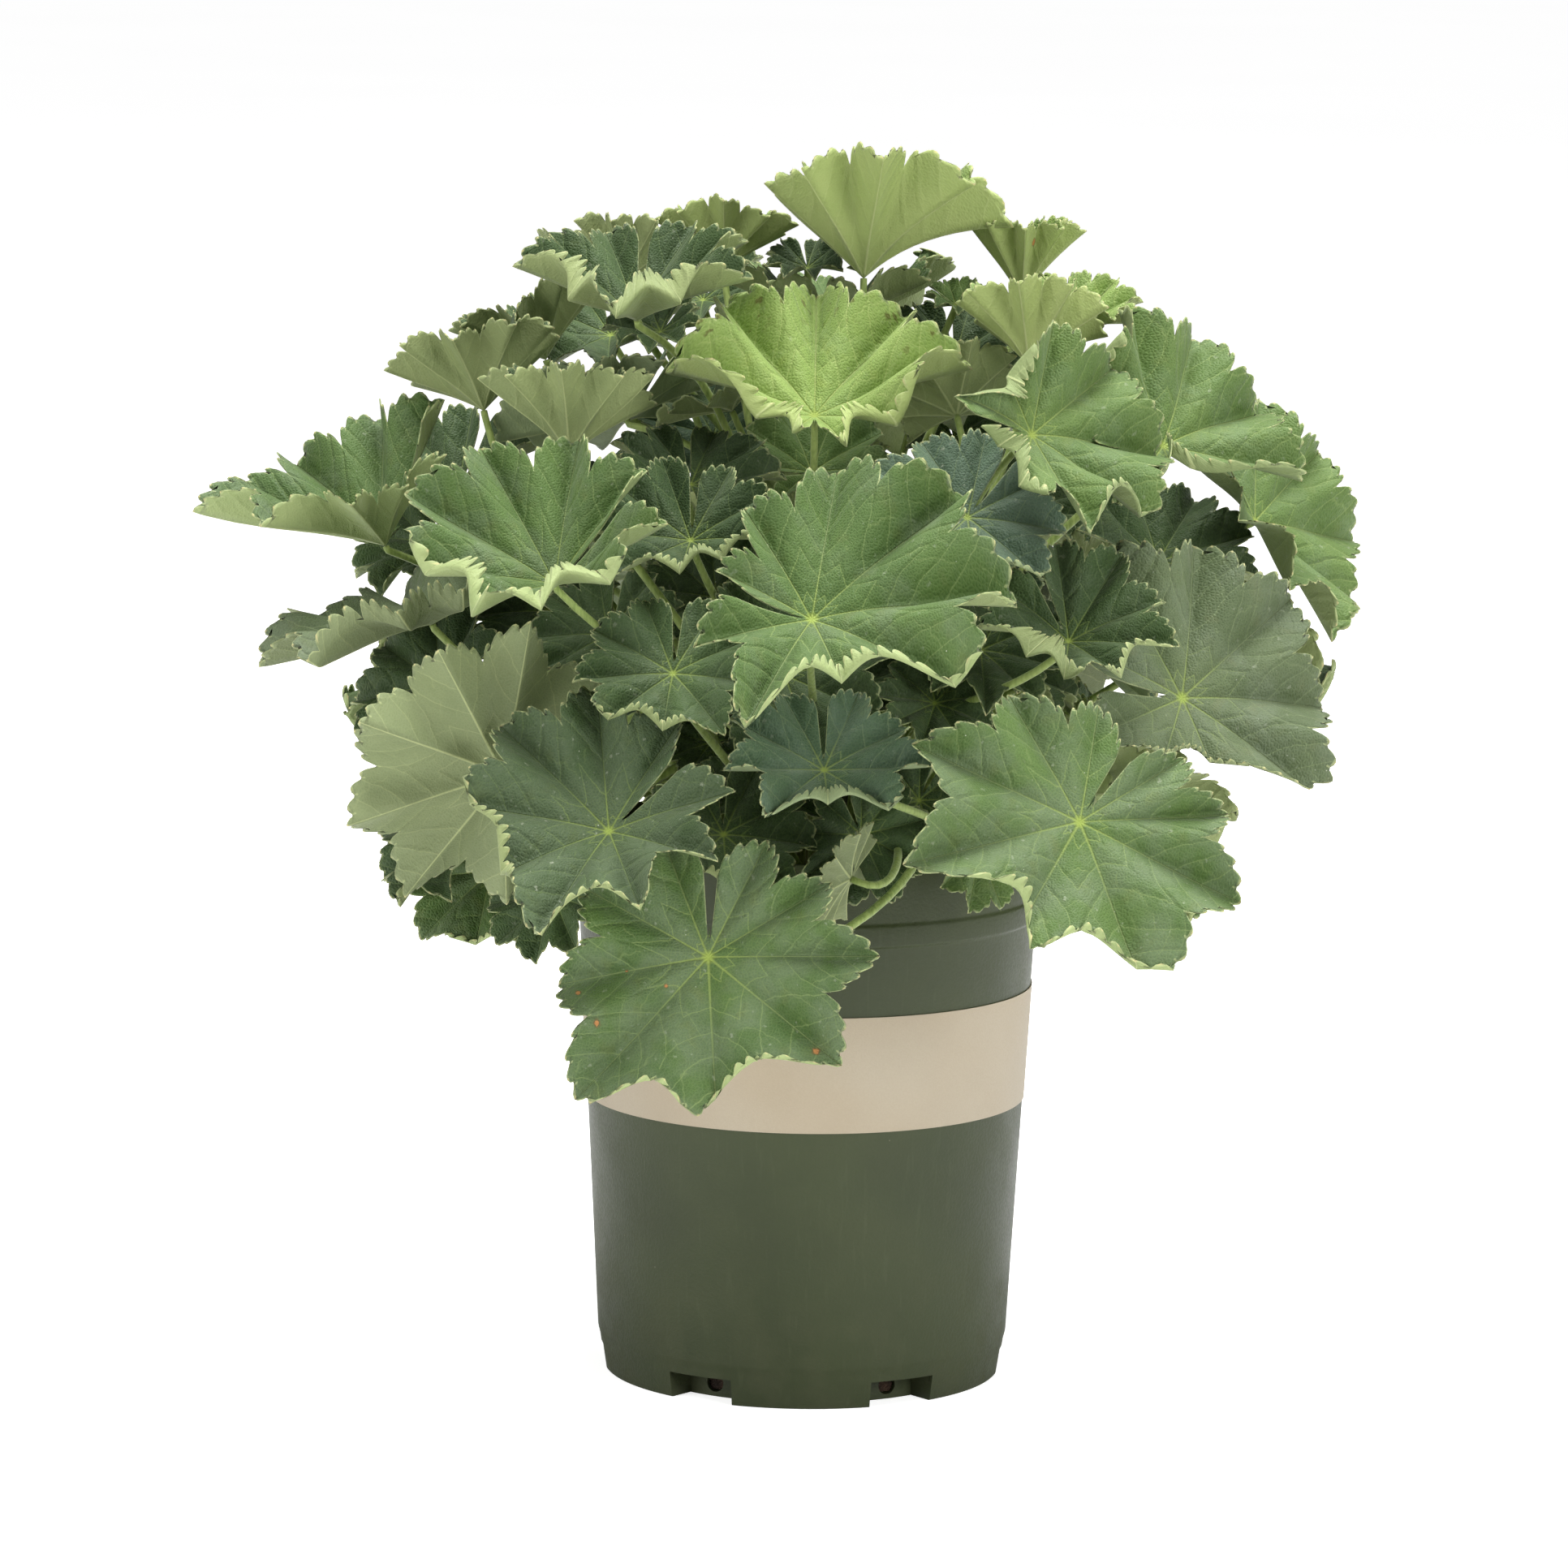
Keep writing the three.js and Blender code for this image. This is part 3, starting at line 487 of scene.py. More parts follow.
class Finish(ABC):
    """One finish: a material with its own nodes round a Principled shader."""

    name: str

    def material(self) -> Material:
        """The finish as a material, built the first time it is asked for.

        Returns:
            The material.
        """
        if self.name in bpy.data.materials:
            return bpy.data.materials[self.name]
        made = bpy.data.materials.new(self.name)
        made.use_nodes = True
        made.node_tree.nodes.clear()
        wiring = Wiring(made.node_tree)
        shader = wiring.add("ShaderNodeBsdfPrincipled", self.looks(wiring))
        wiring.add("ShaderNodeOutputMaterial", {"Surface": shader.outputs["BSDF"]})
        return made

    @abstractmethod
    def looks(self, wiring: Wiring) -> dict[str, Feed]:
        """Adds the finish's nodes.

        Args:
            wiring: The material's tree.

        Returns:
            What the shader's inputs get, by name.
        """


@dataclass(frozen=True)
class Spot:
    """A spot on a blade, at a place in its own plane, in millimetres from the hub."""

    ahead: float
    across: float
    radius: float


class LeafReadings:
    """What a blade's finish reads of its mesh and of the shared effects."""

    def __init__(self, wiring: Wiring, dust_share: float) -> None:
        """Reads them.

        Args:
            wiring: The material's tree.
            dust_share: How many of the specks' cells hold a speck, 0 to 1.
        """
        place = wiring.place()
        self.wiring = wiring
        self.flat = wiring.attribute("flat", "Vector")
        self.share, self.under, self.edge, self.tip, self.tint, along, aside = (
            wiring.attribute(name) for name in ("share", "under", "rim", "tip", "tint", "along", "aside"))
        self.veins = wiring.effect(LeafVeins(), Along=along, Aside=aside, Share=self.share, Flat=self.flat)
        self.cloud, self.grain = wiring.effect(Mottle(), Place=place, Broad=42.0, Fine=700.0).values()
        specks = wiring.effect(Specks(), Place=place, Apart=0.0035, Share=dust_share, Size=0.06)
        self.speck = specks["Speck"]


@dataclass(frozen=True)
class LeafFinish(Finish):
    """A blade's two faces, its veins, its pale hairy edge and what lies on it.

    shade and light are the upper face's darker and paler green, bloom the greyish film that lies
    over parts of it, and rub where that has come off. frost says how much of it has bloom and
    pale flakes, and scorch how strongly its outer part is burnt, both 0 to 1.
    """

    name: str
    shade: Colour
    light: Colour
    bloom: Colour
    rub: Colour
    under: Colour
    vein: Colour
    edge: Colour = paint(190, 198, 142)
    tip: Colour = paint(206, 196, 140)
    hub: Colour = paint(146, 164, 72)
    spot: Colour = paint(178, 124, 72)
    spot_rim: Colour = paint(104, 78, 44)
    dust: Colour = paint(200, 204, 184)
    burnt: Colour = paint(88, 80, 36)
    sheen: Colour = paint(222, 232, 206)
    dust_share: float = 0.22
    frost: float = 0.5
    scorch: float = 0.0
    spots: tuple[Spot, ...] = ()
    vein_shows: ClassVar[dict[str, float]] = {"Net": 0.14, "Fork": 0.3, "Side": 0.46, "Main": 0.66}
    vein_shows_below: ClassVar[dict[str, float]] = {"Net": 0.05, "Fork": 0.08, "Side": 0.18, "Main": 0.6}

    def upper(self, leaf: LeafReadings) -> Signal:
        """The upper face's colour: greens, bloom, rubs, veins, dust, flakes and burns.

        Args:
            leaf: What is read of the blade.

        Returns:
            The colour.
        """
        blend, noise = leaf.wiring.blend, leaf.wiring.noise
        face = blend(leaf.tint * 0.5 + leaf.cloud * 0.5, self.shade, self.light)
        least = 0.62 - 0.4 * self.frost
        film = noise(leaf.flat, 0.05).rising(least, least + 0.24)
        face = blend(film * (0.3 + 0.5 * self.frost), face, self.bloom)
        face = blend(noise(leaf.flat, 0.11, detail=5.0).rising(0.54, 0.72) * 0.4, face, self.rub)
        face = blend(leaf.grain * 0.12, face, self.shade)
        line = blend(leaf.share.rising(0.5, 0.05) * 0.6, self.vein, self.hub)
        for name, strength in self.vein_shows.items():
            face = blend(leaf.veins[name] * strength, face, line)
        face = blend(leaf.share.rising(0.055, 0.015) * 0.8, face, self.hub)
        face = blend(leaf.speck * 0.6, face, self.dust)
        flakes = noise(leaf.flat, 0.3, detail=6.0).rising(0.64, 0.74)
        face = blend(flakes * (0.4 * self.frost), face, self.dust)
        if self.scorch:
            burns = noise(leaf.flat, 0.28, detail=5.0).rising(0.58, 0.68)
            face = blend(burns * (leaf.share.rising(0.55, 0.9) * self.scorch), face, self.burnt)
        return face

    def lower(self, leaf: LeafReadings) -> Signal:
        """The under face's colour, paler and greyer, with plainer veins.

        Args:
            leaf: What is read of the blade.

        Returns:
            The colour.
        """
        below = leaf.wiring.blend(leaf.cloud * 0.3, self.under, self.light)
        for name, strength in self.vein_shows_below.items():
            below = leaf.wiring.blend(leaf.veins[name] * strength, below, self.edge)
        return below

    def marked(self, leaf: LeafReadings, colour: Signal) -> Signal:
        """Adds the blade's own spots, each orange with a brown rim and made ragged by the grain.

        Args:
            leaf: What is read of the blade.
            colour: The colour so far.

        Returns:
            The colour with the spots.
        """
        for spot in self.spots:
            feeds = {0: leaf.flat, 1: (spot.ahead, spot.across, 0.0)}
            away = leaf.wiring.read("Value", "ShaderNodeVectorMath", feeds, operation="DISTANCE")
            ragged = leaf.grain * 0.5 + away
            rim, inside = (ragged.rising(spot.radius * out, spot.radius * whole)
                           for out, whole in ((1.5, 1.0), (1.0, 0.7)))
            colour = leaf.wiring.blend(rim * 0.6, colour, self.spot_rim)
            colour = leaf.wiring.blend(inside, colour, self.spot)
        return colour

    def looks(self, wiring: Wiring) -> dict[str, Feed]:
        """Joins the two faces, with spots, a pale edge and paler tips of the teeth.

        Args:
            wiring: The material's tree.

        Returns:
            What the shader's inputs get, by name.
        """
        leaf = LeafReadings(wiring, self.dust_share)
        colour = self.marked(leaf, wiring.blend(leaf.under, self.upper(leaf), self.lower(leaf)))
        colour = wiring.blend(leaf.edge.rising(0.4, 0.1) * 0.4, colour, self.edge)
        tips = leaf.tip.rising(0.3, 0.9) * leaf.edge.rising(1.0, 0.3)
        colour = wiring.blend(tips * 0.75, colour, self.tip)

        # Veins are sunk on the upper face and stand a little proud below
        sunk = leaf.veins["Swell"] - leaf.veins["Main"] * 0.35
        proud = sunk * -0.4 + 0.4
        height = leaf.grain * 0.08 + (leaf.under * (proud - sunk) + sunk)
        return {
            "Base Color": colour, "Roughness": leaf.grain * 0.12 + 0.56, "Specular IOR Level": 0.3,
            "Sheen Weight": 0.14, "Sheen Roughness": 0.45, "Sheen Tint": self.sheen,
            "Normal": wiring.bump(height, deep=0.0011, strength=0.8),
        }


@dataclass(frozen=True)
class StalkFinish(Finish):
    """A stalk: pale, streaked along its length and redder at the foot."""

    name: str = "stalk_green"
    pale: Colour = paint(166, 184, 102)
    deep: Colour = paint(118, 140, 64)
    foot: Colour = paint(120, 92, 62)

    def looks(self, wiring: Wiring) -> dict[str, Feed]:
        """Streaks the stalk and reddens its foot.

        Args:
            wiring: The material's tree.

        Returns:
            What the shader's inputs get, by name.
        """
        place = wiring.place()
        streaks = wiring.noise(wiring.stretched(place, (1.0, 1.0, 0.08)), 900.0).rising(0.35, 0.65)
        cloud = wiring.effect(Mottle(), Place=place, Broad=30.0, Fine=400.0)
        colour = wiring.blend(streaks * 0.6, self.deep, self.pale)
        colour = wiring.blend(cloud["Cloud"] * 0.35, colour, self.pale)
        colour = wiring.blend(wiring.attribute("share").rising(0.72, 1.0) * 0.6, colour, self.foot)
        return {"Base Color": colour, "Roughness": cloud["Grain"] * 0.15 + 0.5, "Sheen Weight": 0.25,
                "Normal": wiring.bump(streaks, deep=0.00015, strength=0.6)}


@dataclass(frozen=True)
class HairFinish(Finish):
    """The soft pale hairs at the edges of the blades and on the stalks."""

    name: str = "hair_pale"
    root: Colour = paint(156, 170, 108)
    tip: Colour = paint(196, 204, 160)

    def looks(self, wiring: Wiring) -> dict[str, Feed]:
        """Varies the hairs' colour and roughness."""
        cloud = wiring.effect(Mottle(), Place=wiring.place(), Broad=120.0, Fine=900.0)
        return {"Base Color": wiring.blend(cloud["Grain"], self.root, self.tip),
                "Roughness": cloud["Cloud"] * 0.1 + 0.55}


@dataclass(frozen=True)
class Layer:
    """A colour laid over others where an effect's output shows it, by that output's name."""

    mask: str
    strength: float
    colour: Colour


@dataclass(frozen=True)
class LayeredFinish(Finish):
    """Clouds of two colours under a few layers, with a fine grain in the surface.

    broad and fine count the clouds and the grain to a metre. specks are the grit's spacing in
    metres, the share of places with a speck and its size. rough and specular are the shader's
    own, grain_rough and dust_rough what grain and dust add to the roughness, and grain_deep how
    deep the grain is, in metres.
    """

    name: str
    colour: Colour
    cloud: Colour
    layers: tuple[Layer, ...]
    broad: float
    fine: float
    rough: float
    grain_rough: float
    grain_deep: float
    grain_shows: float = 0.5
    dust_rough: float = 0.0
    dusty_below: float = 0.06
    specks: Place = (0.006, 0.22, 0.05)
    specular: float = 0.35

    def looks(self, wiring: Wiring) -> dict[str, Feed]:
        """Lays the layers in order.

        Args:
            wiring: The material's tree.

        Returns:
            What the shader's inputs get, by name.
        """
        place = wiring.place()
        apart, share, size = self.specks
        masks = wiring.effect(Mottle(), Place=place, Broad=self.broad, Fine=self.fine)
        masks |= wiring.effect(Scuffs(), Place=place, Dusty_Below=self.dusty_below)
        masks |= wiring.effect(Specks(), Place=place, Apart=apart, Share=share, Size=size)
        colour = wiring.blend(masks["Cloud"], self.colour, self.cloud)
        for layer in self.layers:
            colour = wiring.blend(masks[layer.mask] * layer.strength, colour, layer.colour)
        rough = masks["Grain"] * self.grain_rough + self.rough
        return {"Base Color": colour, "Roughness": masks["Dust"] * self.dust_rough + rough,
                "Specular IOR Level": self.specular,
                "Normal": wiring.bump(masks["Grain"], deep=self.grain_deep, strength=self.grain_shows)}


POT_DUST, BAND_SMUDGE, PEAT = paint(104, 102, 80), paint(150, 138, 116), paint(44, 33, 25)
PLASTIC = LayeredFinish(
    "pot_olive", colour=paint(49, 57, 31), cloud=paint(56, 64, 36), broad=18.0, fine=900.0, rough=0.4,
    grain_rough=0.08, dust_rough=0.2, grain_deep=0.00008,
    layers=(Layer("Rub", 0.16, paint(76, 84, 58)), Layer("Dust", 0.14, POT_DUST),
            Layer("Speck", 0.5, POT_DUST)))
PRINT = LayeredFinish(
    "band_beige", colour=paint(174, 163, 144), cloud=paint(169, 155, 133), broad=14.0, fine=1500.0,
    rough=0.5, grain_rough=0.1, dusty_below=0.2, grain_deep=0.00004,
    layers=(Layer("Grain", 0.1, BAND_SMUDGE), Layer("Dust", 0.12, BAND_SMUDGE)))
SOIL = LayeredFinish(
    "peat_mix", colour=PEAT, cloud=paint(88, 66, 48), broad=150.0, fine=900.0, rough=0.85, grain_rough=0.1,
    grain_deep=0.0008, grain_shows=1.0, specks=(0.004, 0.1, 0.2), specular=0.5,
    layers=(Layer("Grain", 0.35, PEAT), Layer("Speck", 0.7, paint(150, 134, 108))))


@dataclass(frozen=True)
class FloorFinish(Finish):
    """The studio's pale floor. It shines by glow where the camera sees it, and else by spill."""

    name: str = "studio_floor"
    colour: Colour = paint(246, 246, 246)
    shade: Colour = paint(243, 243, 243)
    glow: float = 0.7
    spill: float = 0.1

    def looks(self, wiring: Wiring) -> dict[str, Feed]:
        """Clouds the floor faintly and lights it.

        Args:
            wiring: The material's tree.

        Returns:
            What the shader's inputs get, by name.
        """
        cloud = wiring.effect(Mottle(), Place=wiring.place(), Broad=1.5, Fine=40.0)
        seen = wiring.read("Is Camera Ray", "ShaderNodeLightPath")
        return {"Base Color": wiring.blend(cloud["Cloud"], self.colour, self.shade), "Roughness": 0.9,
                "Specular IOR Level": 0.1, "Emission Color": self.colour,
                "Emission Strength": seen * self.glow + self.spill}


# Leaves


class Tone(Enum):
    """The six greens that the leaves come in, by the record's slots."""

    YOUNG = "leaf_young"
    BRIGHT = "leaf_bright"
    GREEN = "leaf_green"
    DARK = "leaf_dark"
    BLUE = "leaf_blue"
    DUSTY = "leaf_dusty"


LEAF_FINISHES = {
    Tone.YOUNG: LeafFinish(
        "blade_young", shade=paint(110, 137, 64), light=paint(142, 164, 90), bloom=paint(138, 160, 102),
        rub=paint(142, 158, 78), under=paint(158, 172, 106), vein=paint(168, 182, 112), dust_share=0.08),
    Tone.BRIGHT: LeafFinish(
        "blade_bright", shade=paint(74, 102, 46), light=paint(101, 124, 64), bloom=paint(106, 128, 86),
        rub=paint(108, 124, 64), under=paint(134, 148, 98), vein=paint(138, 156, 94), dust_share=0.14),
    Tone.GREEN: LeafFinish(
        "blade_green", shade=paint(64, 90, 42), light=paint(90, 116, 58), bloom=paint(104, 120, 90),
        rub=paint(94, 106, 56), under=paint(158, 172, 116), vein=paint(130, 148, 92)),
    Tone.DARK: LeafFinish(
        "blade_dark", shade=paint(42, 64, 31), light=paint(67, 89, 47), bloom=paint(82, 98, 70),
        rub=paint(80, 94, 53), under=paint(142, 154, 102), vein=paint(104, 122, 74)),
    Tone.BLUE: LeafFinish(
        "blade_blue", shade=paint(54, 78, 54), light=paint(78, 102, 72), bloom=paint(92, 112, 94),
        rub=paint(88, 104, 70), under=paint(138, 152, 110), vein=paint(116, 134, 96)),
    Tone.DUSTY: LeafFinish(
        "blade_dusty", shade=paint(70, 86, 54), light=paint(92, 106, 72), bloom=paint(108, 120, 96),
        rub=paint(104, 110, 76), under=paint(126, 137, 96), vein=paint(122, 136, 96), dust_share=0.34),
}


@dataclass(frozen=True)
class Lip:
    """A stretch of a blade's edge that is folded up and over.

    towards and wide are its middle and half width in degrees, counted in the blade's plane from
    straight downhill, to the right where the face looks to the front. The fold runs in an arc
    between two lobes' tips, at its middle deep of the reach inside them, and turns the strip
    outside it up by angle. The strip is a share of the reach wide.
    """

    towards: float
    wide: float
    deep: float
    angle: float
    strip: float = 0.09


@dataclass(frozen=True)
class LeafRow:
    """How one leaf is held and shaped, as in the CAD source, with the lips and spots it adds.

    facing and rise say where its upper face looks, turn where its middle lobe points, all in
    degrees. reach is that lobe's length in millimetres. cup, curl, fold, nod, wave and pleat are
    slopes in degrees. frost says how much of the face has its bloom. longer lists how much longer
    each lobe is than its even length, as a share of the reach, and is drawn where it is empty.
    swing turns the lobes near a bearing, its second value, by its first, in degrees.
    """

    name: str
    facing: float
    rise: float
    turn: float
    reach: float
    cup: float
    curl: float = 0
    fold: float = 0
    nod: float = 0
    wave: float = 8
    pleat: float = 6
    tone: Tone = Tone.DARK
    lips: tuple[Lip, ...] = ()
    spots: tuple[Spot, ...] = ()
    frost: float = 0.5
    longer: tuple[float, ...] = ()
    swing: tuple[float, float] = (0.0, 0.0)


FRONT_LEAVES = (
    LeafRow("top_4", 0, 56, 180, 55, 24, wave=6, pleat=10, tone=Tone.YOUNG,
            lips=(Lip(-48, 44, 0.55, 140, 0.17), Lip(48, 36, 0.42, 125, 0.14)), frost=0.3,
            longer=(-0.1, 0, 0.04, 0.03, -0.02, 0.05, 0.02, -0.04, -0.12)),
    LeafRow("right_10", 12, 24, -38, 57, 6, curl=14, tone=Tone.GREEN, lips=(Lip(-46, 21, 0.34, 150, 0.11),
            Lip(1, 26, 0.3, 140, 0.09)), frost=0.66,
            longer=(-0.12, -0.04, 0.12, 0.13, -0.12, 0.15, 0.08, -0.06, -0.08), swing=(20, 71)),
    LeafRow("left_10", -8, 18, 0, 58, 6, curl=8, wave=7, tone=Tone.GREEN,
            lips=(Lip(-18, 17, 0.2, 150, 0.06), Lip(27, 27, 0.26, 150, 0.07)), spots=(Spot(27, -37, 1.4),
            Spot(15, -44, 1.1), Spot(11, -14, 0.9), Spot(31, 39, 1.4), Spot(6, -28, 0.7)), frost=0.66,
            longer=(-0.06, -0.08, -0.05, 0.12, -0.08, 0.05, 0.02, -0.1, -0.1), swing=(16, 58)),
    LeafRow("centre_1", 4, 46, 92, 64, 20, nod=8, wave=7, pleat=8, tone=Tone.GREEN,
            lips=(Lip(17, 46, 0.46, 150, 0.12),), frost=0.4,
            longer=(-0.12, 0.12, 0.02, 0.08, 0.08, 0.1, 0.04, -0.18, -0.3)),
    LeafRow("left_6", -14, 46, -50, 56, 20, curl=6, nod=4, lips=(Lip(-58, 40, 0.3, 140, 0.11),
            Lip(10, 26, 0.16, 110, 0.06)), frost=0.9),
    LeafRow("right_5", 26, 30, 85, 61, 10, nod=6, tone=Tone.DUSTY, lips=(Lip(-8, 62, 0.62, 140, 0.05),)),
    LeafRow("right_1", 34, 32, 80, 50, 14, fold=16, nod=-4, pleat=8, tone=Tone.BRIGHT,
            lips=(Lip(-64, 44, 0.45, 130, 0.18), Lip(24, 24, 0.2, 130, 0.09), Lip(-150, 40, 0.4, 130, 0.2)),
            longer=(-0.1, -0.1, -0.05, 0, 0.12, 0.05, -0.15, -0.15, -0.1)),
    LeafRow("right_2", 34, 38, 105, 53, 14, fold=10, pleat=8, tone=Tone.BRIGHT,
            lips=(Lip(2, 58, 0.7, 140, 0.18), Lip(-120, 40, 0.3, 120, 0.15)),
            longer=(-0.04, -0.14, -0.16, -0.05, 0, 0.03, 0, -0.03, 0)),
    LeafRow("left_3", -20, 56, -60, 60, 34, nod=4, tone=Tone.GREEN, lips=(Lip(-36, 38, 0.36, 140, 0.16),
            Lip(36, 32, 0.4, 150, 0.2))),
    LeafRow("left_1", -78, 64, 0, 66, 40, wave=7, tone=Tone.GREEN,
            longer=(0, 0, 0, 0, 0.02, -0.1, -0.34, -0.34, -0.2)),
    LeafRow("top_5", -8, 68, 0, 51, 36, nod=-6, lips=(Lip(-40, 34, 0.3, 110, 0.2),
            Lip(26, 34, 0.34, 120, 0.24))),
    LeafRow("top_1", 180, 76, -95, 58, 43, nod=19, wave=6, pleat=7, tone=Tone.YOUNG),
    LeafRow("left_4", -165, 8, 112, 56, 8, curl=6, fold=14, tone=Tone.DUSTY),
    LeafRow("centre_2", 5, 50, 0, 38, 18, curl=8, tone=Tone.BLUE, lips=(Lip(3, 44, 0.5, 150, 0.16),)),
    LeafRow("right_8", 8, 42, -40, 40, 14, tone=Tone.BLUE, lips=(Lip(0, 44, 0.3, 130, 0.1),), frost=0.9),
    LeafRow("right_6", 4, 50, 30, 40, 26, lips=(Lip(-36, 42, 0.5, 150, 0.3), Lip(40, 26, 0.25, 130, 0.1))),
    LeafRow("left_2", -88, 69, 0, 60, 12, fold=2, wave=5, tone=Tone.DUSTY,
            lips=(Lip(88, 60, 0.3, 50, 0.2),), longer=(0, 0, 0, 0, 0, -0.05, -0.2, -0.2, -0.1)),
    LeafRow("top_12", 165, 66, 180, 36, 44, pleat=7, tone=Tone.YOUNG),
    LeafRow("centre_3", -8, 44, 0, 36, 14, lips=(Lip(-10, 40, 0.35, 140, 0.12),)),
    LeafRow("left_12", 175, 72, 180, 42, 44),
    LeafRow("right_3", 64, 34, 30, 52, 16, curl=4, fold=10, tone=Tone.BRIGHT),
    LeafRow("centre_5", -8, 50, 0, 38, 24, curl=14, lips=(Lip(20, 52, 0.45, 140, 0.14),)),
    LeafRow("right_4", 30, 56, 95, 38, 18, lips=(Lip(-10, 44, 0.4, 130, 0.2),)),
    LeafRow("right_7", 20, 64, 90, 40, 32, lips=(Lip(0, 50, 0.4, 110, 0.2),)),
    LeafRow("left_11", -20, 40, 0, 31, 14),
    LeafRow("left_5", -40, 40, -70, 35, 14, lips=(Lip(20, 44, 0.4, 130, 0.14),)),
    LeafRow("left_8", -50, 34, 0, 33, 12),
    LeafRow("left_9", -30, 30, 0, 26, 8),
    LeafRow("left_7", -20, 22, 0, 34, 14, tone=Tone.GREEN, lips=(Lip(0, 30, 0.2, 130, 0.08),)),
    LeafRow("centre_4", -22, 46, 0, 31, 14),
    LeafRow("centre_10", 5, 45, 0, 34, 12, lips=(Lip(0, 44, 0.35, 130, 0.12),)),
    LeafRow("top_2", 0, 84, 0, 36, 60, wave=5, pleat=5, tone=Tone.YOUNG, spots=(Spot(24, 8, 1.8),)),
    LeafRow("top_3", 30, 66, 0, 28, 38, wave=6, tone=Tone.YOUNG),
    LeafRow("top_6", 180, 70, 180, 31, 38, tone=Tone.YOUNG),
    LeafRow("top_7", 165, 68, 180, 28, 40),
    LeafRow("top_10", 15, 60, 0, 34, 26),
    LeafRow("left_13", -150, 66, 180, 40, 40),
    LeafRow("left_14", -110, 68, 180, 40, 40),
    LeafRow("left_16", -42, 60, 0, 42, 24),
    LeafRow("centre_9", -110, 20, 0, 24, 10, wave=6, pleat=5, tone=Tone.DUSTY),
    LeafRow("centre_7", 10, 60, 0, 34, 20, lips=(Lip(0, 48, 0.35, 120, 0.14),)),
    LeafRow("top_11", -160, 45, 180, 30, 26),
)


@dataclass(frozen=True)
class Drawn:
    """A property that is drawn: how far it varies either way, by which draw, and about what."""

    spread: float
    use: int
    middle: float = 0.0

    def of(self, seed: int, middle: float = 0.0) -> float:
        """Its value for a seed, with a middle given on top of its own."""
        return self.middle + middle + vary(self.spread, seed, self.use)


@dataclass(frozen=True)
class BackTier:
    """A row of leaves round the sides and the back, that have no places of their own."""

    count: int
    rise: float
    reach: float
    first: float
    last: float


@dataclass(frozen=True)
class BackLeaves:
    """The rule for the leaves at the back, with the seeded draws of the CAD source."""

    tiers: tuple[BackTier, ...] = (
        BackTier(5, rise=34, reach=56, first=88, last=244),
        BackTier(5, rise=46, reach=57, first=100, last=242),
        BackTier(3, rise=60, reach=52, first=132, last=222),
        BackTier(1, rise=74, reach=48, first=180, last=180),
    )
    first_seed: int = 100
    seeds_per_tier: int = 10
    bearing: Drawn = Drawn(6, use=4)
    facing: Drawn = Drawn(12, use=7)
    rise: Drawn = Drawn(7, use=8)
    reach: Drawn = Drawn(4, use=10)
    lip: Drawn = Drawn(60, use=15)
    slopes: ClassVar[dict[str, Drawn]] = {
        "turn": Drawn(25, use=9), "cup": Drawn(8, use=11, middle=16), "curl": Drawn(6, use=12, middle=4),
        "fold": Drawn(8, use=13, middle=6), "nod": Drawn(6, use=14)}
    tones: tuple[Tone, ...] = (Tone.GREEN, Tone.DARK, Tone.DUSTY, Tone.GREEN, Tone.BLUE)

    def rows(self) -> list[LeafRow]:
        """Works out how each of them is held and shaped.

        Returns:
            Their rows, lowest tier first.
        """
        rows = []
        for level, tier in enumerate(self.tiers):
            for i in range(tier.count):
                seed = self.first_seed + self.seeds_per_tier * level + i
                step = i / (tier.count - 1) if tier.count > 1 else 0.5
                bearing = self.bearing.of(seed, tier.first + (tier.last - tier.first) * step)
                rows.append(LeafRow(
                    f"back_{level + 1}{i + 1}", self.facing.of(seed, bearing), self.rise.of(seed, tier.rise),
                    reach=self.reach.of(seed, tier.reach),
                    tone=self.tones[(level + i) % len(self.tones)],
                    lips=(Lip(self.lip.of(seed), wide=34, deep=0.14, angle=120),),
                    **{name: slope.of(seed) for name, slope in self.slopes.items()}))
        return rows


def linked(name: str, data: bpy.types.ID) -> Piece:
    """A new object with this mesh, lamp or camera, linked to the scene.

    Args:
        name: The object's name.
        data: Its mesh, lamp or camera.

    Returns:
        The object.
    """
    made = bpy.data.objects.new(name, data)
    bpy.context.collection.objects.link(made)
    return made


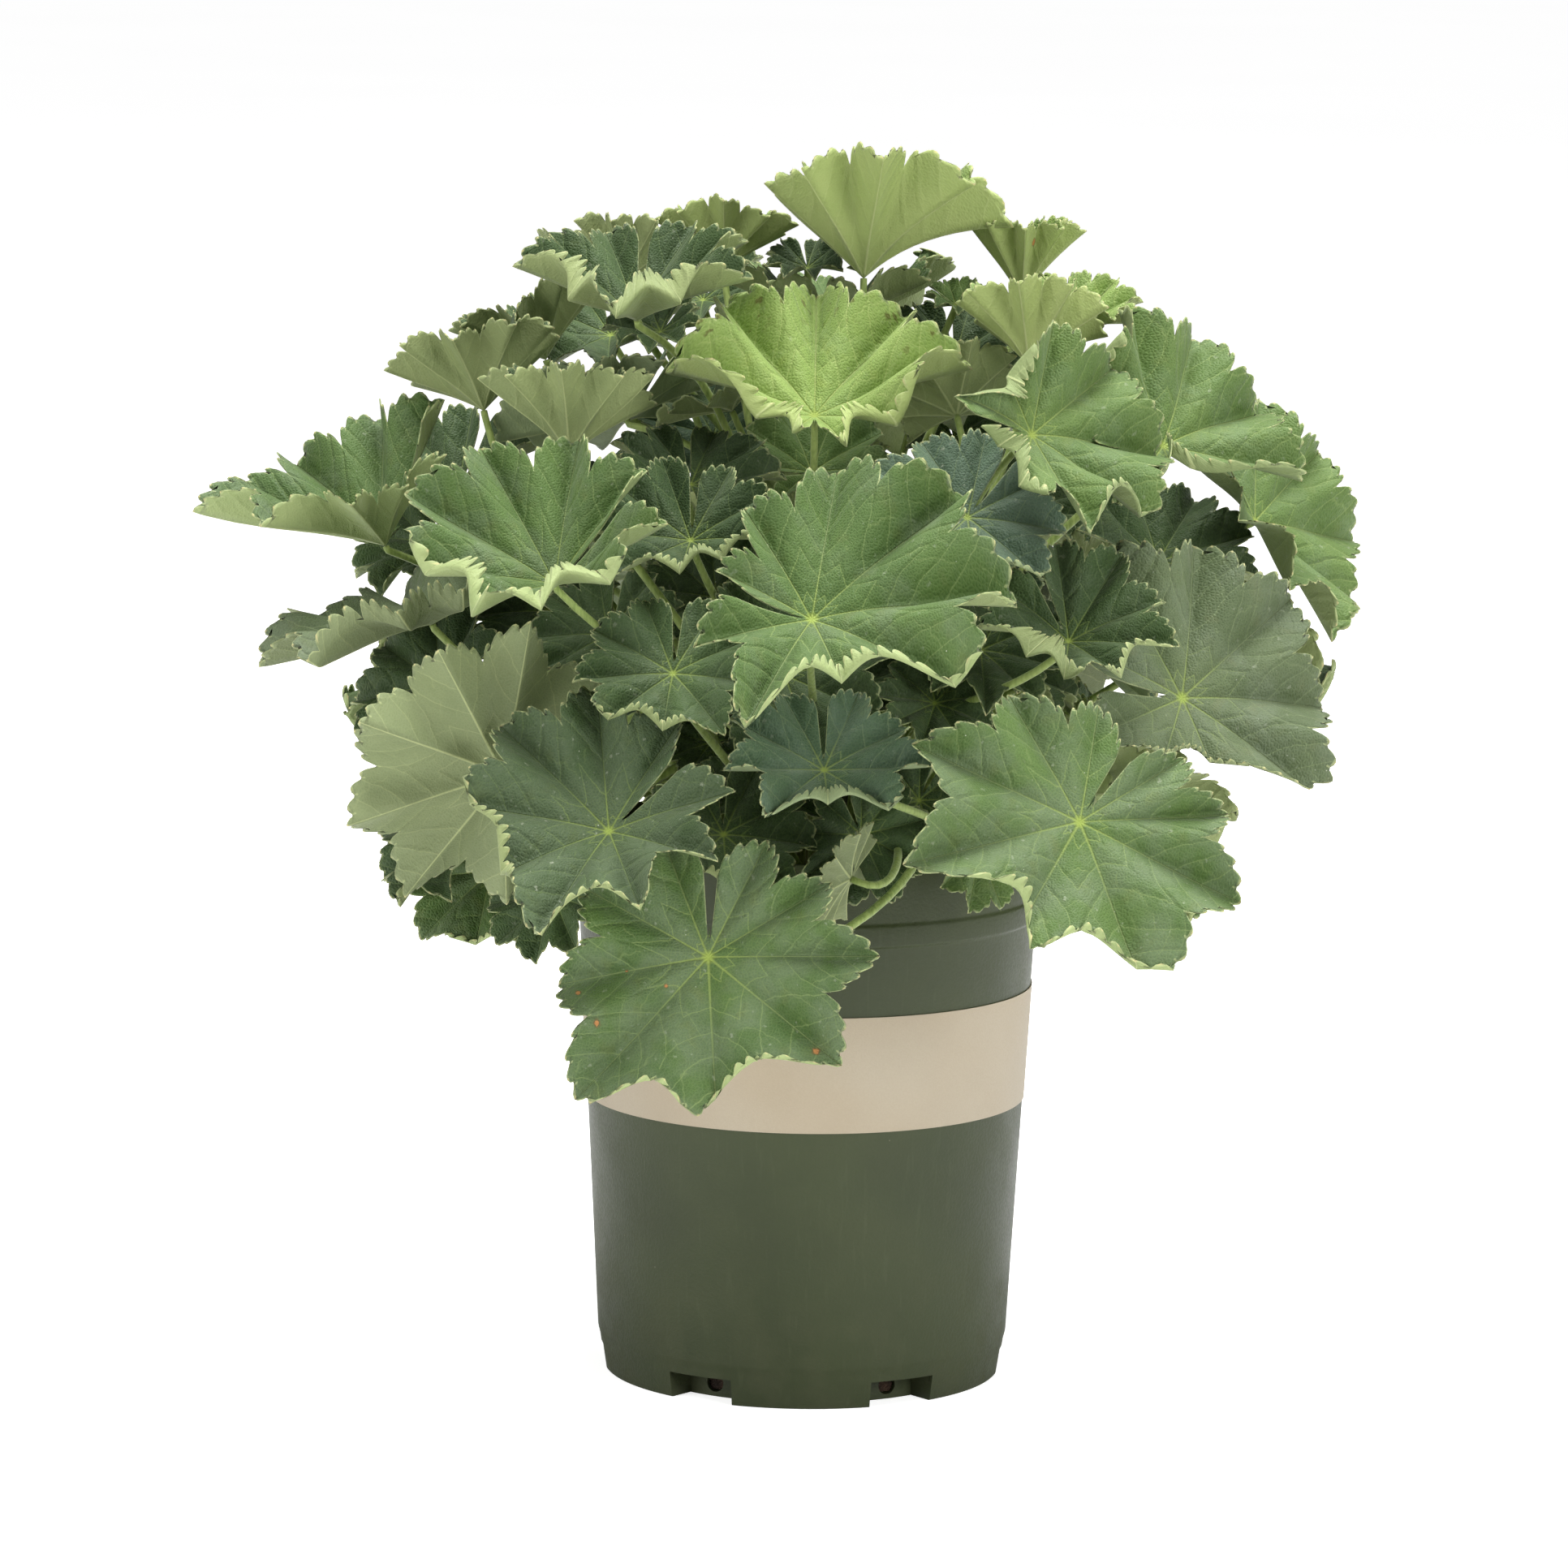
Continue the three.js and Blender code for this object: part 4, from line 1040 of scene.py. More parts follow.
@dataclass
class MeshParts:
    """Points, faces and point attributes of a mesh that is being put together."""

    points: list[Array] = field(default_factory=list)
    faces: list[Array] = field(default_factory=list)
    finishes: list[Array] = field(default_factory=list)
    values: dict[str, list[Array]] = field(default_factory=dict)
    count: int = 0

    def add(self, points: Array, faces: Array, finish: int, **values: Array) -> None:
        """Adds a closed part.

        Args:
            points: Its points, one to a row, in millimetres.
            faces: Its triangles, as three point numbers to a row.
            finish: Which of the object's materials it has.
            values: Its point attributes by name; every part has the same names.
        """
        self.points.append(points * MM)
        self.faces.append(faces + self.count)
        self.finishes.append(np.full(len(faces), finish))
        for name, value in values.items():
            self.values.setdefault(name, []).append(value)
        self.count += len(points)

    def build(self, name: str, materials: Sequence[Material]) -> Piece:
        """Turns the parts into one object.

        Args:
            name: The object's name.
            materials: Its materials, in the order that add() counts them.

        Returns:
            The object, smooth shaded and linked to the scene.
        """
        points = np.concatenate(self.points)
        faces = np.concatenate(self.faces).astype(np.int32)
        mesh = bpy.data.meshes.new(name)
        mesh.vertices.add(len(points))
        mesh.vertices.foreach_set("co", points.astype(np.float32).ravel())
        mesh.loops.add(faces.size)
        mesh.loops.foreach_set("vertex_index", faces.ravel())
        mesh.polygons.add(len(faces))
        mesh.polygons.foreach_set("loop_start", np.arange(0, faces.size, 3, dtype=np.int32))
        mesh.polygons.foreach_set("material_index", np.concatenate(self.finishes).astype(np.int32))
        for material in materials:
            mesh.materials.append(material)
        for key, rows in self.values.items():
            value = np.concatenate(rows).astype(np.float32)
            sort, slot = ("FLOAT", "value") if value.ndim == 1 else ("FLOAT_VECTOR", "vector")
            mesh.attributes.new(key, sort, "POINT").data.foreach_set(slot, value.ravel())
        mesh.update(calc_edges=True)
        mesh.validate()
        mesh.shade_smooth()
        return linked(name, mesh)


def smooth_step(value: Array) -> Array:
    """Eases 0 to 1 at both ends, holding what lies outside."""
    held = np.clip(value, 0.0, 1.0)
    return held * held * (3 - 2 * held)


def unit(vector: Array) -> Array:
    """The same direction at length 1, row by row."""
    return vector / np.maximum(np.linalg.norm(vector, axis=-1, keepdims=True), 1e-12)


def column(values: Array) -> Array:
    """A row of numbers stood up, so that each multiplies a vector of its own."""
    return values[:, None]


def triangles(*corners: Array | int) -> Array:
    """Triangles from their first, second and third points' numbers, three to a row."""
    return np.stack(np.broadcast_arrays(*corners), -1).reshape(-1, 3)


def quads(a: Array, b: Array, c: Array, d: Array) -> Array:
    """Two triangles for each set of four corners, which go round in order."""
    return np.concatenate([triangles(a, b, c), triangles(a, c, d)])


@dataclass
class Blade:
    """A leaf's blade, thin and toothed, over the same form as its CAD solid.

    hub is the place where the stalk meets it, in millimetres. One that is not fine has fewer
    rings, and fewer steps to a tooth.
    """

    row: LeafRow
    seed: int
    hub: Array
    fine: bool = True
    lobes: int = 9
    span: float = math.radians(175)
    basal_shorter: float = 0.2
    length_varies: float = 0.03
    lobe_varies: float = 0.05
    tip_longer: float = 1.02
    notch: float = 0.07
    notch_power: float = 5
    shoulder: float = 0.13
    bluntest: float = 2.0
    sharpest: float = 1.1
    notch_in_lip: float = 0.45
    strip_notch: float = 0.55
    strip_notch_power: float = 8
    wobbles: tuple[tuple[int, float], ...] = ((2, 0.67), (3, 0.47), (5, 0.4))
    steepest: float = 75
    ripple: float = 7
    ripples: float = 3.6
    tooth_deep: float = 0.052
    tooth_lean: float = 1.35
    tooth_round: float = 0.6
    tooth_crest: float = 1.25
    tip_from: float = 0.98
    hair_spread: float = 0.35
    hair_share: float = 0.7
    samples: int = 6
    coarse_samples: int = 4
    steps: int = 48
    thick: float = 0.45
    sinus: float = 0.17
    rings: tuple[float, ...] = (0.05, 0.12, 0.2, 0.3, 0.4, 0.5, 0.6, 0.69)
    sharper: float = 1.8
    swing_wide: float = math.radians(104)
    fold_wide: float = 0.045
    least_fold: float = 0.07
    most_fold: float = 0.3
    least_strip: float = 0.05
    closed_rings: int = 2
    coarse_below: float = 36
    coarse_teeth: int = 5
    fine_teeth: int = 7
    ripple_use: int = 20
    tint_use: int = 21
    shoulder_use: int = 50
    first_length_use: int = 60

    def __post_init__(self) -> None:
        """Works out the blade's own axes and how many teeth a lobe has."""
        row = self.row
        facing, rise, turn = (math.radians(angle) for angle in (row.facing, row.rise, row.turn))
        self.up = np.array([math.sin(facing) * math.cos(rise), -math.cos(facing) * math.cos(rise),
                            math.sin(rise)])
        downhill = np.array([math.sin(facing) * math.sin(rise), -math.cos(facing) * math.sin(rise),
                             -math.cos(rise)])
        level = np.cross(self.up, downhill)
        self.ahead = downhill * math.cos(turn) + level * math.sin(turn)
        self.across = np.cross(self.up, self.ahead)
        self.teeth = self.coarse_teeth if row.reach < self.coarse_below else self.fine_teeth
        drawn = [vary(self.lobe_varies, self.seed, self.first_length_use + i) for i in range(self.lobes)]
        self.lengths = np.array(row.longer or drawn)
        blunt = draw(self.seed, self.shoulder_use)
        self.shoulder_power = self.sharpest + (self.bluntest - self.sharpest) * blunt
        if not self.fine:
            self.samples = self.coarse_samples
            self.rings = self.rings[:2] + self.rings[2::2]

    def bearing(self, lobe: Array) -> Array:
        """Which way a place lies from the hub.

        Args:
            lobe: Places counted in lobes from one side of the sinus.

        Returns:
            Their bearings in the blade, in radians from the middle lobe.
        """
        even = self.span * (2 * lobe / self.lobes - 1)
        by, about = (math.radians(angle) for angle in self.row.swing)
        away = np.clip((even - about) / self.swing_wide, -1, 1)
        return even + by * np.cos(math.pi / 2 * away) ** 2

    @staticmethod
    def within(lobe: Array) -> Array:
        """How far to the side of its lobe's main vein a place is, 0 to 1."""
        return np.abs(2 * (lobe - np.floor(lobe)) - 1)

    def wobble(self, bearing: Array) -> Array:
        """A slow unevenness round the blade, of its own for each leaf."""
        return sum(share * np.sin(turns * bearing + 2 * math.pi * draw(self.seed, i + 1))
                   for i, (turns, share) in enumerate(self.wobbles))

    def arch(self, lobe: Array, lip: Lip) -> Array:
        """How far inside a lip's stretch places are, 1 at its middle and 0 at its ends."""
        away = (np.degrees(self.bearing(lobe)) + self.row.turn - lip.towards + 180) % 360 - 180
        return np.clip(1 - (away / lip.wide) ** 2, 0, 1)

    def long(self, lobe: Array) -> Array:
        """How long the lobes are, smoothly from one to the next.

        Args:
            lobe: Places counted in lobes.

        Returns:
            Their lengths as shares of the reach.
        """
        middle = (lobe - self.lobes / 2) / (self.lobes / 2)
        own = np.interp(lobe - 0.5, np.arange(self.lobes), self.lengths)
        uneven = self.length_varies * self.wobble(self.bearing(lobe))
        return (1 - self.basal_shorter * middle ** 2 + uneven + own) * self.tip_longer

    def fold_at(self, lobe: Array, lip: Lip) -> Array:
        """How far out a lip's fold runs, as a share of the reach."""
        return self.long(lobe) - lip.deep * self.arch(lobe, lip)

    def outline(self, lobe: Array) -> Array:
        """The outline without teeth.

        Args:
            lobe: Places counted in lobes.

        Returns:
            Its distance from the hub there, as a share of the reach.
        """
        within = self.within(lobe)
        inside = sum((self.arch(lobe, lip) for lip in self.row.lips), np.zeros_like(lobe))
        shallower = 1 - (1 - self.notch_in_lip) * np.sqrt(np.clip(inside, 0, 1))
        cut = self.notch * within ** self.notch_power + self.shoulder * within ** self.shoulder_power
        edge = self.long(lobe) - cut * shallower
        for lip in self.row.lips:
            notched = 1 - self.strip_notch * within ** self.strip_notch_power
            wide = lip.strip * np.sqrt(self.arch(lobe, lip)) * notched
            edge = np.minimum(edge, self.fold_at(lobe, lip) + wide)
        return edge

    def slope(self, lobe: Array, out: Array) -> Array:
        """How steeply the blade rises away from the hub, without its lips.

        Args:
            lobe: Places counted in lobes.
            out: Their distances from the hub, as shares of the reach.

        Returns:
            The slopes in degrees.
        """
        row = self.row
        bearing = self.bearing(lobe)
        grow = np.minimum(1, 2 * out)
        uneven = self.wobble(bearing)
        degrees = (row.cup + row.curl * out ** 2 - row.nod * np.cos(bearing) * out
                   - row.fold * np.cos(2 * bearing) * grow + row.wave * uneven * out
                   + row.pleat * self.sharper * (2 * np.sin(math.pi / 2 * self.within(lobe)) - 1) * grow)
        degrees = np.clip(degrees, -self.steepest, self.steepest)
        phase = math.tau * draw(self.seed, self.ripple_use)
        return degrees + self.ripple * np.sin(self.ripples * math.pi * lobe + phase) * out ** 4

    def strip(self, lobe: Array, lip: Lip) -> Array:
        """How wide the strip outside a lip's fold is, as a share of the reach."""
        wide = np.maximum(self.outline(lobe) - self.fold_at(lobe, lip), 0)
        return np.where(self.arch(lobe, lip) > 0, wide, 0.0)

    def ring_places(self, lobe: Array) -> list[Array]:
        """The rings between hub and edge. The outer ones follow the folds.

        Args:
            lobe: The columns, counted in lobes.

        Returns:
            For each ring, its distances from the hub as shares of the reach.
        """
        edge = self.outline(lobe)
        strip = sum((self.strip(lobe, lip) for lip in self.row.lips), np.zeros_like(lobe))
        fold = edge - np.clip(strip, self.least_fold, self.most_fold)
        last = self.rings[-1] * fold
        outer = [(last + fold) / 2, fold, fold + self.fold_wide / 2, fold + self.fold_wide]
        return [*(share * fold for share in self.rings), *outer]

    def surface(self, lobe: Array, out: Array) -> Array:
        """Places on the blade's middle surface.

        Args:
            lobe: Places counted in lobes.
            out: Their distances from the hub along the blade, as shares of the reach.

        Returns:
            One place to a row, in millimetres.
        """
        along = np.zeros_like(out)
        height = np.zeros_like(out)
        folds = [(self.fold_at(lobe, lip),
                  lip.angle * smooth_step(self.strip(lobe, lip) / self.least_strip)) for lip in self.row.lips]
        for i in range(self.steps):
            so_far = out * (i + 0.5) / self.steps
            slope = self.slope(lobe, so_far)
            for fold, angle in folds:
                slope = slope + angle * smooth_step((so_far - fold) / self.fold_wide)
            slope = np.radians(slope)
            along += np.cos(slope) * out / self.steps
            height += np.sin(slope) * out / self.steps
        bearing = self.bearing(lobe)
        return self.hub + self.row.reach * (
            column(along * np.cos(bearing)) * self.ahead
            + column(along * np.sin(bearing)) * self.across
            + column(height) * self.up)

    def margin(self) -> tuple[Array, Array, Array]:
        """The toothed edge. Teeth lean towards the tip of their lobe, and the middle one is upright.

        Returns:
            Places counted in lobes, their distances from the hub as shares of the reach, and 1 at
            the teeth's tips and 0 elsewhere.
        """
        steps = np.arange(self.lobes * self.teeth * self.samples + 1)
        lobe = steps / (self.teeth * self.samples)
        tooth = (steps // self.samples) % self.teeth
        within = (steps % self.samples) / self.samples
        middle = (self.teeth - 1) / 2
        leaning = np.where(tooth < middle, within, 1 - within) ** self.tooth_lean
        leaning = np.where(tooth == middle, within, leaning)
        rise = np.sin(math.pi * np.clip(leaning, 0, 1)) ** self.tooth_round
        tips = np.where(rise > self.tip_from, 1.0, 0.0)
        return lobe, self.outline(lobe) + self.tooth_deep * (self.tooth_crest * rise - 1), tips

    def sparse(self, step: float = 0.12) -> tuple[Array, Array]:
        """Evenly spread places on the blade, by which other leaves keep clear of it.

        Args:
            step: From one to the next round the blade, counted in lobes.

        Returns:
            Places counted in lobes, and their distances from the hub as shares of the reach.
        """
        round_it, outward = np.arange(0, self.lobes, step), np.linspace(0.08, 1, max(4, int(1.5 / step)))
        lobe, share = (grid.ravel() for grid in np.meshgrid(round_it, outward))
        return lobe, share * self.outline(lobe)

    def columns(self) -> Array:
        """The blade's inner columns, two to a tooth, counted in lobes."""
        return np.arange(self.lobes * self.teeth * 2 + 1) / (self.teeth * 2)

    def faces(self) -> tuple[Array, Array]:
        """The triangles of the upper face and the points round its edge.

        Returns:
            Triangles as three point numbers to a row, and the edge's point numbers in order. The
            points are the hub, the sinus apex, the rings from the inside out, and the margin.
        """
        wide = len(self.columns())
        count = len(self.ring_places(self.columns()))
        ring = [2 + wide * j + np.arange(wide) for j in range(count)]
        margin = 2 + wide * count + np.arange(self.lobes * self.teeth * self.samples + 1)
        found = [triangles(0, ring[0][:-1], ring[0][1:])]
        found += [quads(inner[:-1], outer[:-1], outer[1:], inner[1:]) for inner, outer in zip(ring, ring[1:])]

        # A tooth's edge steps hang on its two inner ones
        last = ring[-1]
        half = (self.samples + 1) // 2
        for step in range(self.samples):
            inner = last[:-1][(0 if step < half else 1)::2]
            found.append(triangles(inner, margin[:-1][step::self.samples], margin[1:][step::self.samples]))
        middle = last[1::2]
        found.append(triangles(last[:-1][0::2], margin[half::self.samples], middle))
        found.append(triangles(middle, margin[self.samples::self.samples], last[2::2]))

        # Inside the sinus the last column meets the first
        apex = 1
        inside = [r[[0, -1]] for r in ring[:self.closed_rings + 1]]
        found.append(triangles(0, inside[0][1], inside[0][0]))
        for inner, outer in zip(inside, inside[1:self.closed_rings]):
            found.append(quads(inner[1], outer[1], outer[0], inner[0]))
        closed, parted = inside[self.closed_rings - 1:]
        found.append(np.array([[closed[1], apex, closed[0]], [closed[1], parted[1], apex],
                               [closed[0], apex, parted[0]]]))
        left = [r[0] for r in ring[self.closed_rings:]]
        right = [r[-1] for r in ring[self.closed_rings:]]
        edge_loop = np.array([apex, *left, *margin, *reversed(right)])
        return np.concatenate(found), edge_loop

    def add_to(self, parts: MeshParts, finish: int) -> HairRoots:
        """Adds the blade as a thin closed solid.

        Args:
            parts: The mesh that it is added to.
            finish: Which of the object's materials it has.

        Returns:
            Where hairs stand on its edge and the way that they point, in metres.
        """
        columns = self.columns()
        rim_lobe, rim_out, _ = self.margin()
        rings = self.ring_places(columns)
        lobe = np.concatenate([[self.lobes / 2, 0.0], np.tile(columns, len(rings)), rim_lobe])
        out = np.concatenate([[0.0, self.sinus], *rings, rim_out])
        middle = self.surface(lobe, out)
        lean = math.radians(self.slope(np.zeros(1), np.full(1, self.sinus))[0])
        middle[1] = self.hub + self.row.reach * self.sinus * (
            -self.ahead * math.cos(lean) + self.up * 0.5 * math.sin(lean))
        faces, loop = self.faces()

        corners = middle[faces]
        leaning = np.cross(corners[:, 1] - corners[:, 0], corners[:, 2] - corners[:, 0])
        normals = np.zeros_like(middle)
        for k in range(3):
            np.add.at(normals, faces[:, k], leaning)
        normals = unit(normals)

        count = len(middle)
        after = np.roll(loop, -1)
        wall = quads(loop, loop + count, after + count, after)
        points = np.concatenate([middle + normals * self.thick / 2, middle - normals * self.thick / 2])
        values = self.attributes(lobe, out)
        doubled = {name: np.concatenate([value, value]) for name, value in values.items()}
        parts.add(points, np.concatenate([faces, faces[:, ::-1] + count, wall]), finish,
                  **doubled, under=np.repeat([0.0, 1.0], count))
        return self.hair_roots(middle, normals, len(rim_lobe))

    def attributes(self, lobe: Array, out: Array) -> dict[str, Array]:
        """What the finish reads at each point.

        Args:
            lobe: Places counted in lobes.
            out: Their distances from the hub, as shares of the reach.

        Returns:
            Lengths along and aside of the lobe's main vein, the distance from the edge and the
            place in the blade's own plane, all in millimetres, with the share and the tint.
        """
        reach = self.row.reach
        bearing = self.bearing(lobe)
        off = (lobe - np.floor(lobe) - 0.5) * 2 * self.span / self.lobes
        rim_lobe, rim_out, tips = self.margin()
        tooth_edge = np.interp(lobe, rim_lobe, rim_out)
        beside_sinus = out * reach * np.minimum(lobe, self.lobes - lobe) * 2 * self.span / self.lobes
        rim = np.minimum((tooth_edge - out) * reach, beside_sinus + (out < self.sinus) * reach)
        return {
            "along": out * reach * np.cos(off),
            "aside": out * reach * np.abs(np.sin(off)),
            "share": out,
            "rim": np.maximum(rim, 0.0),
            "tip": np.concatenate([np.zeros(len(lobe) - len(rim_lobe)), tips]),
            "flat": np.stack([out * reach * np.cos(bearing), out * reach * np.sin(bearing),
                              np.zeros_like(out)], -1),
            "tint": np.full(len(out), draw(self.seed, self.tint_use)),
        }

    def hair_roots(self, middle: Array, normals: Array, rim_count: int) -> HairRoots:
        """Where hairs stand round the edge.

        Args:
            middle: The blade's middle surface, whose last points are the margin.
            normals: The way that its upper face looks at each.
            rim_count: How many points the margin has.

        Returns:
            Their roots in metres, and their directions.
        """
        edge, facing = middle[-rim_count:], normals[-rim_count:]
        inward = self.hub - edge
        outward = unit(-inward + facing * np.sum(inward * facing, -1, keepdims=True))
        rng = np.random.default_rng(self.seed)
        way = unit(outward + rng.normal(0, self.hair_spread, edge.shape))
        keep = rng.random(rim_count) < self.hair_share
        return edge[keep] * MM, way[keep]


@dataclass
class Stalk:
    """A leaf's round stalk, on the way of its CAD solid.

    way is a row of places in millimetres, from the blade down to the foot, and up the way that
    the blade's upper face looks.
    """

    way: Array
    up: Array
    seed: int
    top_radius: float = 1.3
    foot_radius: float = 1.85
    into_blade: float = 1.6
    first_side: Place = (0.3, 0.9, 0.2)
    sides: int = 8
    steps: int = 18
    hair_seeds: int = 1000
    hairs_per_mm: float = 0.55
    hair_depth: float = 0.9
    hair_spread: float = 0.25

    def centres(self) -> Array:
        """The middle line: the curve that the CAD rings lie on, and the straight foot.

        Returns:
            Places in millimetres, from just under the blade to the foot.
        """
        curve, foot = self.way[:-1], self.way[-1]
        fit = np.polynomial.polynomial.polyfit(np.linspace(0, 1, len(curve)), curve, 3)
        fine = np.polynomial.polynomial.polyval(np.linspace(0, 1, self.steps), fit).T
        return np.concatenate([[curve[0] + self.up * self.into_blade], fine, [foot]])

    def add_to(self, parts: MeshParts, finish: int) -> HairRoots:
        """Adds the stalk as a closed tube.

        Args:
            parts: The mesh that it is added to.
            finish: Which of the object's materials it has.

        Returns:
            Where its hairs stand and the way that they point, in metres.
        """
        line = self.centres()
        heading = unit(np.gradient(line, axis=0))
        radius = np.linspace(self.top_radius, self.foot_radius, len(line))
        angles = column(np.arange(self.sides) * 2 * math.pi / self.sides)
        side = unit(np.cross(heading[0], self.first_side))
        outs = []
        for way in heading:
            side = unit(side - way * np.dot(side, way))
            outs.append(np.cos(angles) * side + np.sin(angles) * np.cross(way, side))
        count = len(line)
        rings = [centre + wide * out for centre, wide, out in zip(line, radius, outs)]
        points = np.concatenate([*rings, line[:1], line[-1:]])
        ring = np.arange(count * self.sides).reshape(count, self.sides)
        beside = np.roll(ring, -1, axis=1)
        top, foot = count * self.sides, count * self.sides + 1
        faces = np.concatenate([quads(ring[:-1], beside[:-1], beside[1:], ring[1:]),
                                triangles(top, beside[0], ring[0]), triangles(foot, ring[-1], beside[-1])])
        share = np.append(np.repeat(np.linspace(0, 1, count), self.sides), [0.0, 1.0])
        unused = dict.fromkeys(("along", "aside", "rim", "tip", "tint", "under"), np.zeros(len(points)))
        parts.add(points, faces, finish, share=share, flat=np.zeros((len(points), 3)), **unused)
        return self.hair_roots(line, np.array(outs), radius)

    def hair_roots(self, line: Array, outs: Array, radius: Array) -> HairRoots:
        """Where the stalk's hairs stand.

        Args:
            line: The stalk's middle line in millimetres.
            outs: The ways straight out of it at each place.
            radius: Its radius at each place.

        Returns:
            Their roots in metres, and their directions.
        """
        rng = np.random.default_rng(self.hair_seeds + self.seed)
        long = np.linalg.norm(np.diff(line, axis=0), axis=1).sum()
        count = int(long * self.hairs_per_mm)
        at = rng.random(count) * (len(line) - 3) + 1
        low = at.astype(int)
        part = column(at - low)
        facet = rng.integers(0, self.sides, count)
        way = unit(outs[low, facet] * (1 - part) + outs[low + 1, facet] * part)
        centre = line[low] * (1 - part) + line[low + 1] * part
        root = centre + way * column(radius[low] * self.hair_depth)
        return root * MM, unit(way + rng.normal(0, self.hair_spread, way.shape))


@dataclass
class HairField:
    """Short stiff hairs, set on their roots by Geometry Nodes and made one mesh.

    length and radius are a hair's, in millimetres, and varied the least and the most that it is
    scaled by.
    """

    name: str
    length: float
    radius: float
    varied: tuple[float, float] = (0.55, 1.25)
    seed: int = 7
    sides: int = 3
    roots: list[Array] = field(default_factory=list)
    ways: list[Array] = field(default_factory=list)

    def gather(self, found: HairRoots) -> None:
        """Adds roots and the ways their hairs point."""
        self.roots.append(found[0])
        self.ways.append(found[1])

    def tree(self, material: Material) -> Tree:
        """A tree that stands a thin cone on each point.

        Args:
            material: The hairs' finish.

        Returns:
            The tree.
        """
        sizes = {"Points": None, "Length": self.length * MM, "Radius": self.radius * MM}
        wiring = Wiring.group(self.name, "GeometryNodeTree", sizes, ("Hairs",))
        given = wiring.add("NodeGroupInput").outputs
        cone = wiring.read("Mesh", "GeometryNodeMeshCone", {
            "Vertices": self.sides, "Radius Bottom": given["Radius"], "Depth": given["Length"],
        }, fill_type="TRIANGLE_FAN")
        aim = wiring.read("Attribute", "GeometryNodeInputNamedAttribute", {"Name": "aim"},
                          data_type="FLOAT_VECTOR")
        tilt = wiring.read("Rotation", "FunctionNodeAlignRotationToVector", {"Vector": aim}, axis="Z")
        stand = wiring.stand(cone, given["Points"], wiring.random(*self.varied, seed=self.seed), tilt)
        return wiring.finished(stand, material, "Hairs")

    def build(self, material: Material) -> Piece:
        """Grows the hairs.

        Args:
            material: Their finish.

        Returns:
            The hairs as one plain mesh.
        """
        mesh = bpy.data.meshes.new(f"{self.name}_roots")
        mesh.from_pydata(np.concatenate(self.roots).tolist(), [], [])
        layer = mesh.attributes.new("aim", "FLOAT_VECTOR", "POINT")
        layer.data.foreach_set("vector", np.concatenate(self.ways).astype(np.float32).ravel())
        base = linked(mesh.name, mesh)
        base.modifiers.new(self.name, "NODES").node_group = self.tree(material)
        return kept(base, self.name, material)


def kept(base: Piece, name: str, material: Material) -> Piece:
    """Keeps what an object's modifiers make of it as a plain mesh.

    Args:
        base: The object, which is removed.
        name: The result's name.
        material: The result's finish.

    Returns:
        The result, linked to the scene.
    """
    bpy.context.view_layer.update()
    evaluated = base.evaluated_get(bpy.context.evaluated_depsgraph_get())
    mesh = bpy.data.meshes.new_from_object(evaluated)
    mesh.name = name
    mesh.materials.clear()
    mesh.materials.append(material)
    bpy.data.objects.remove(base)
    return linked(name, mesh)


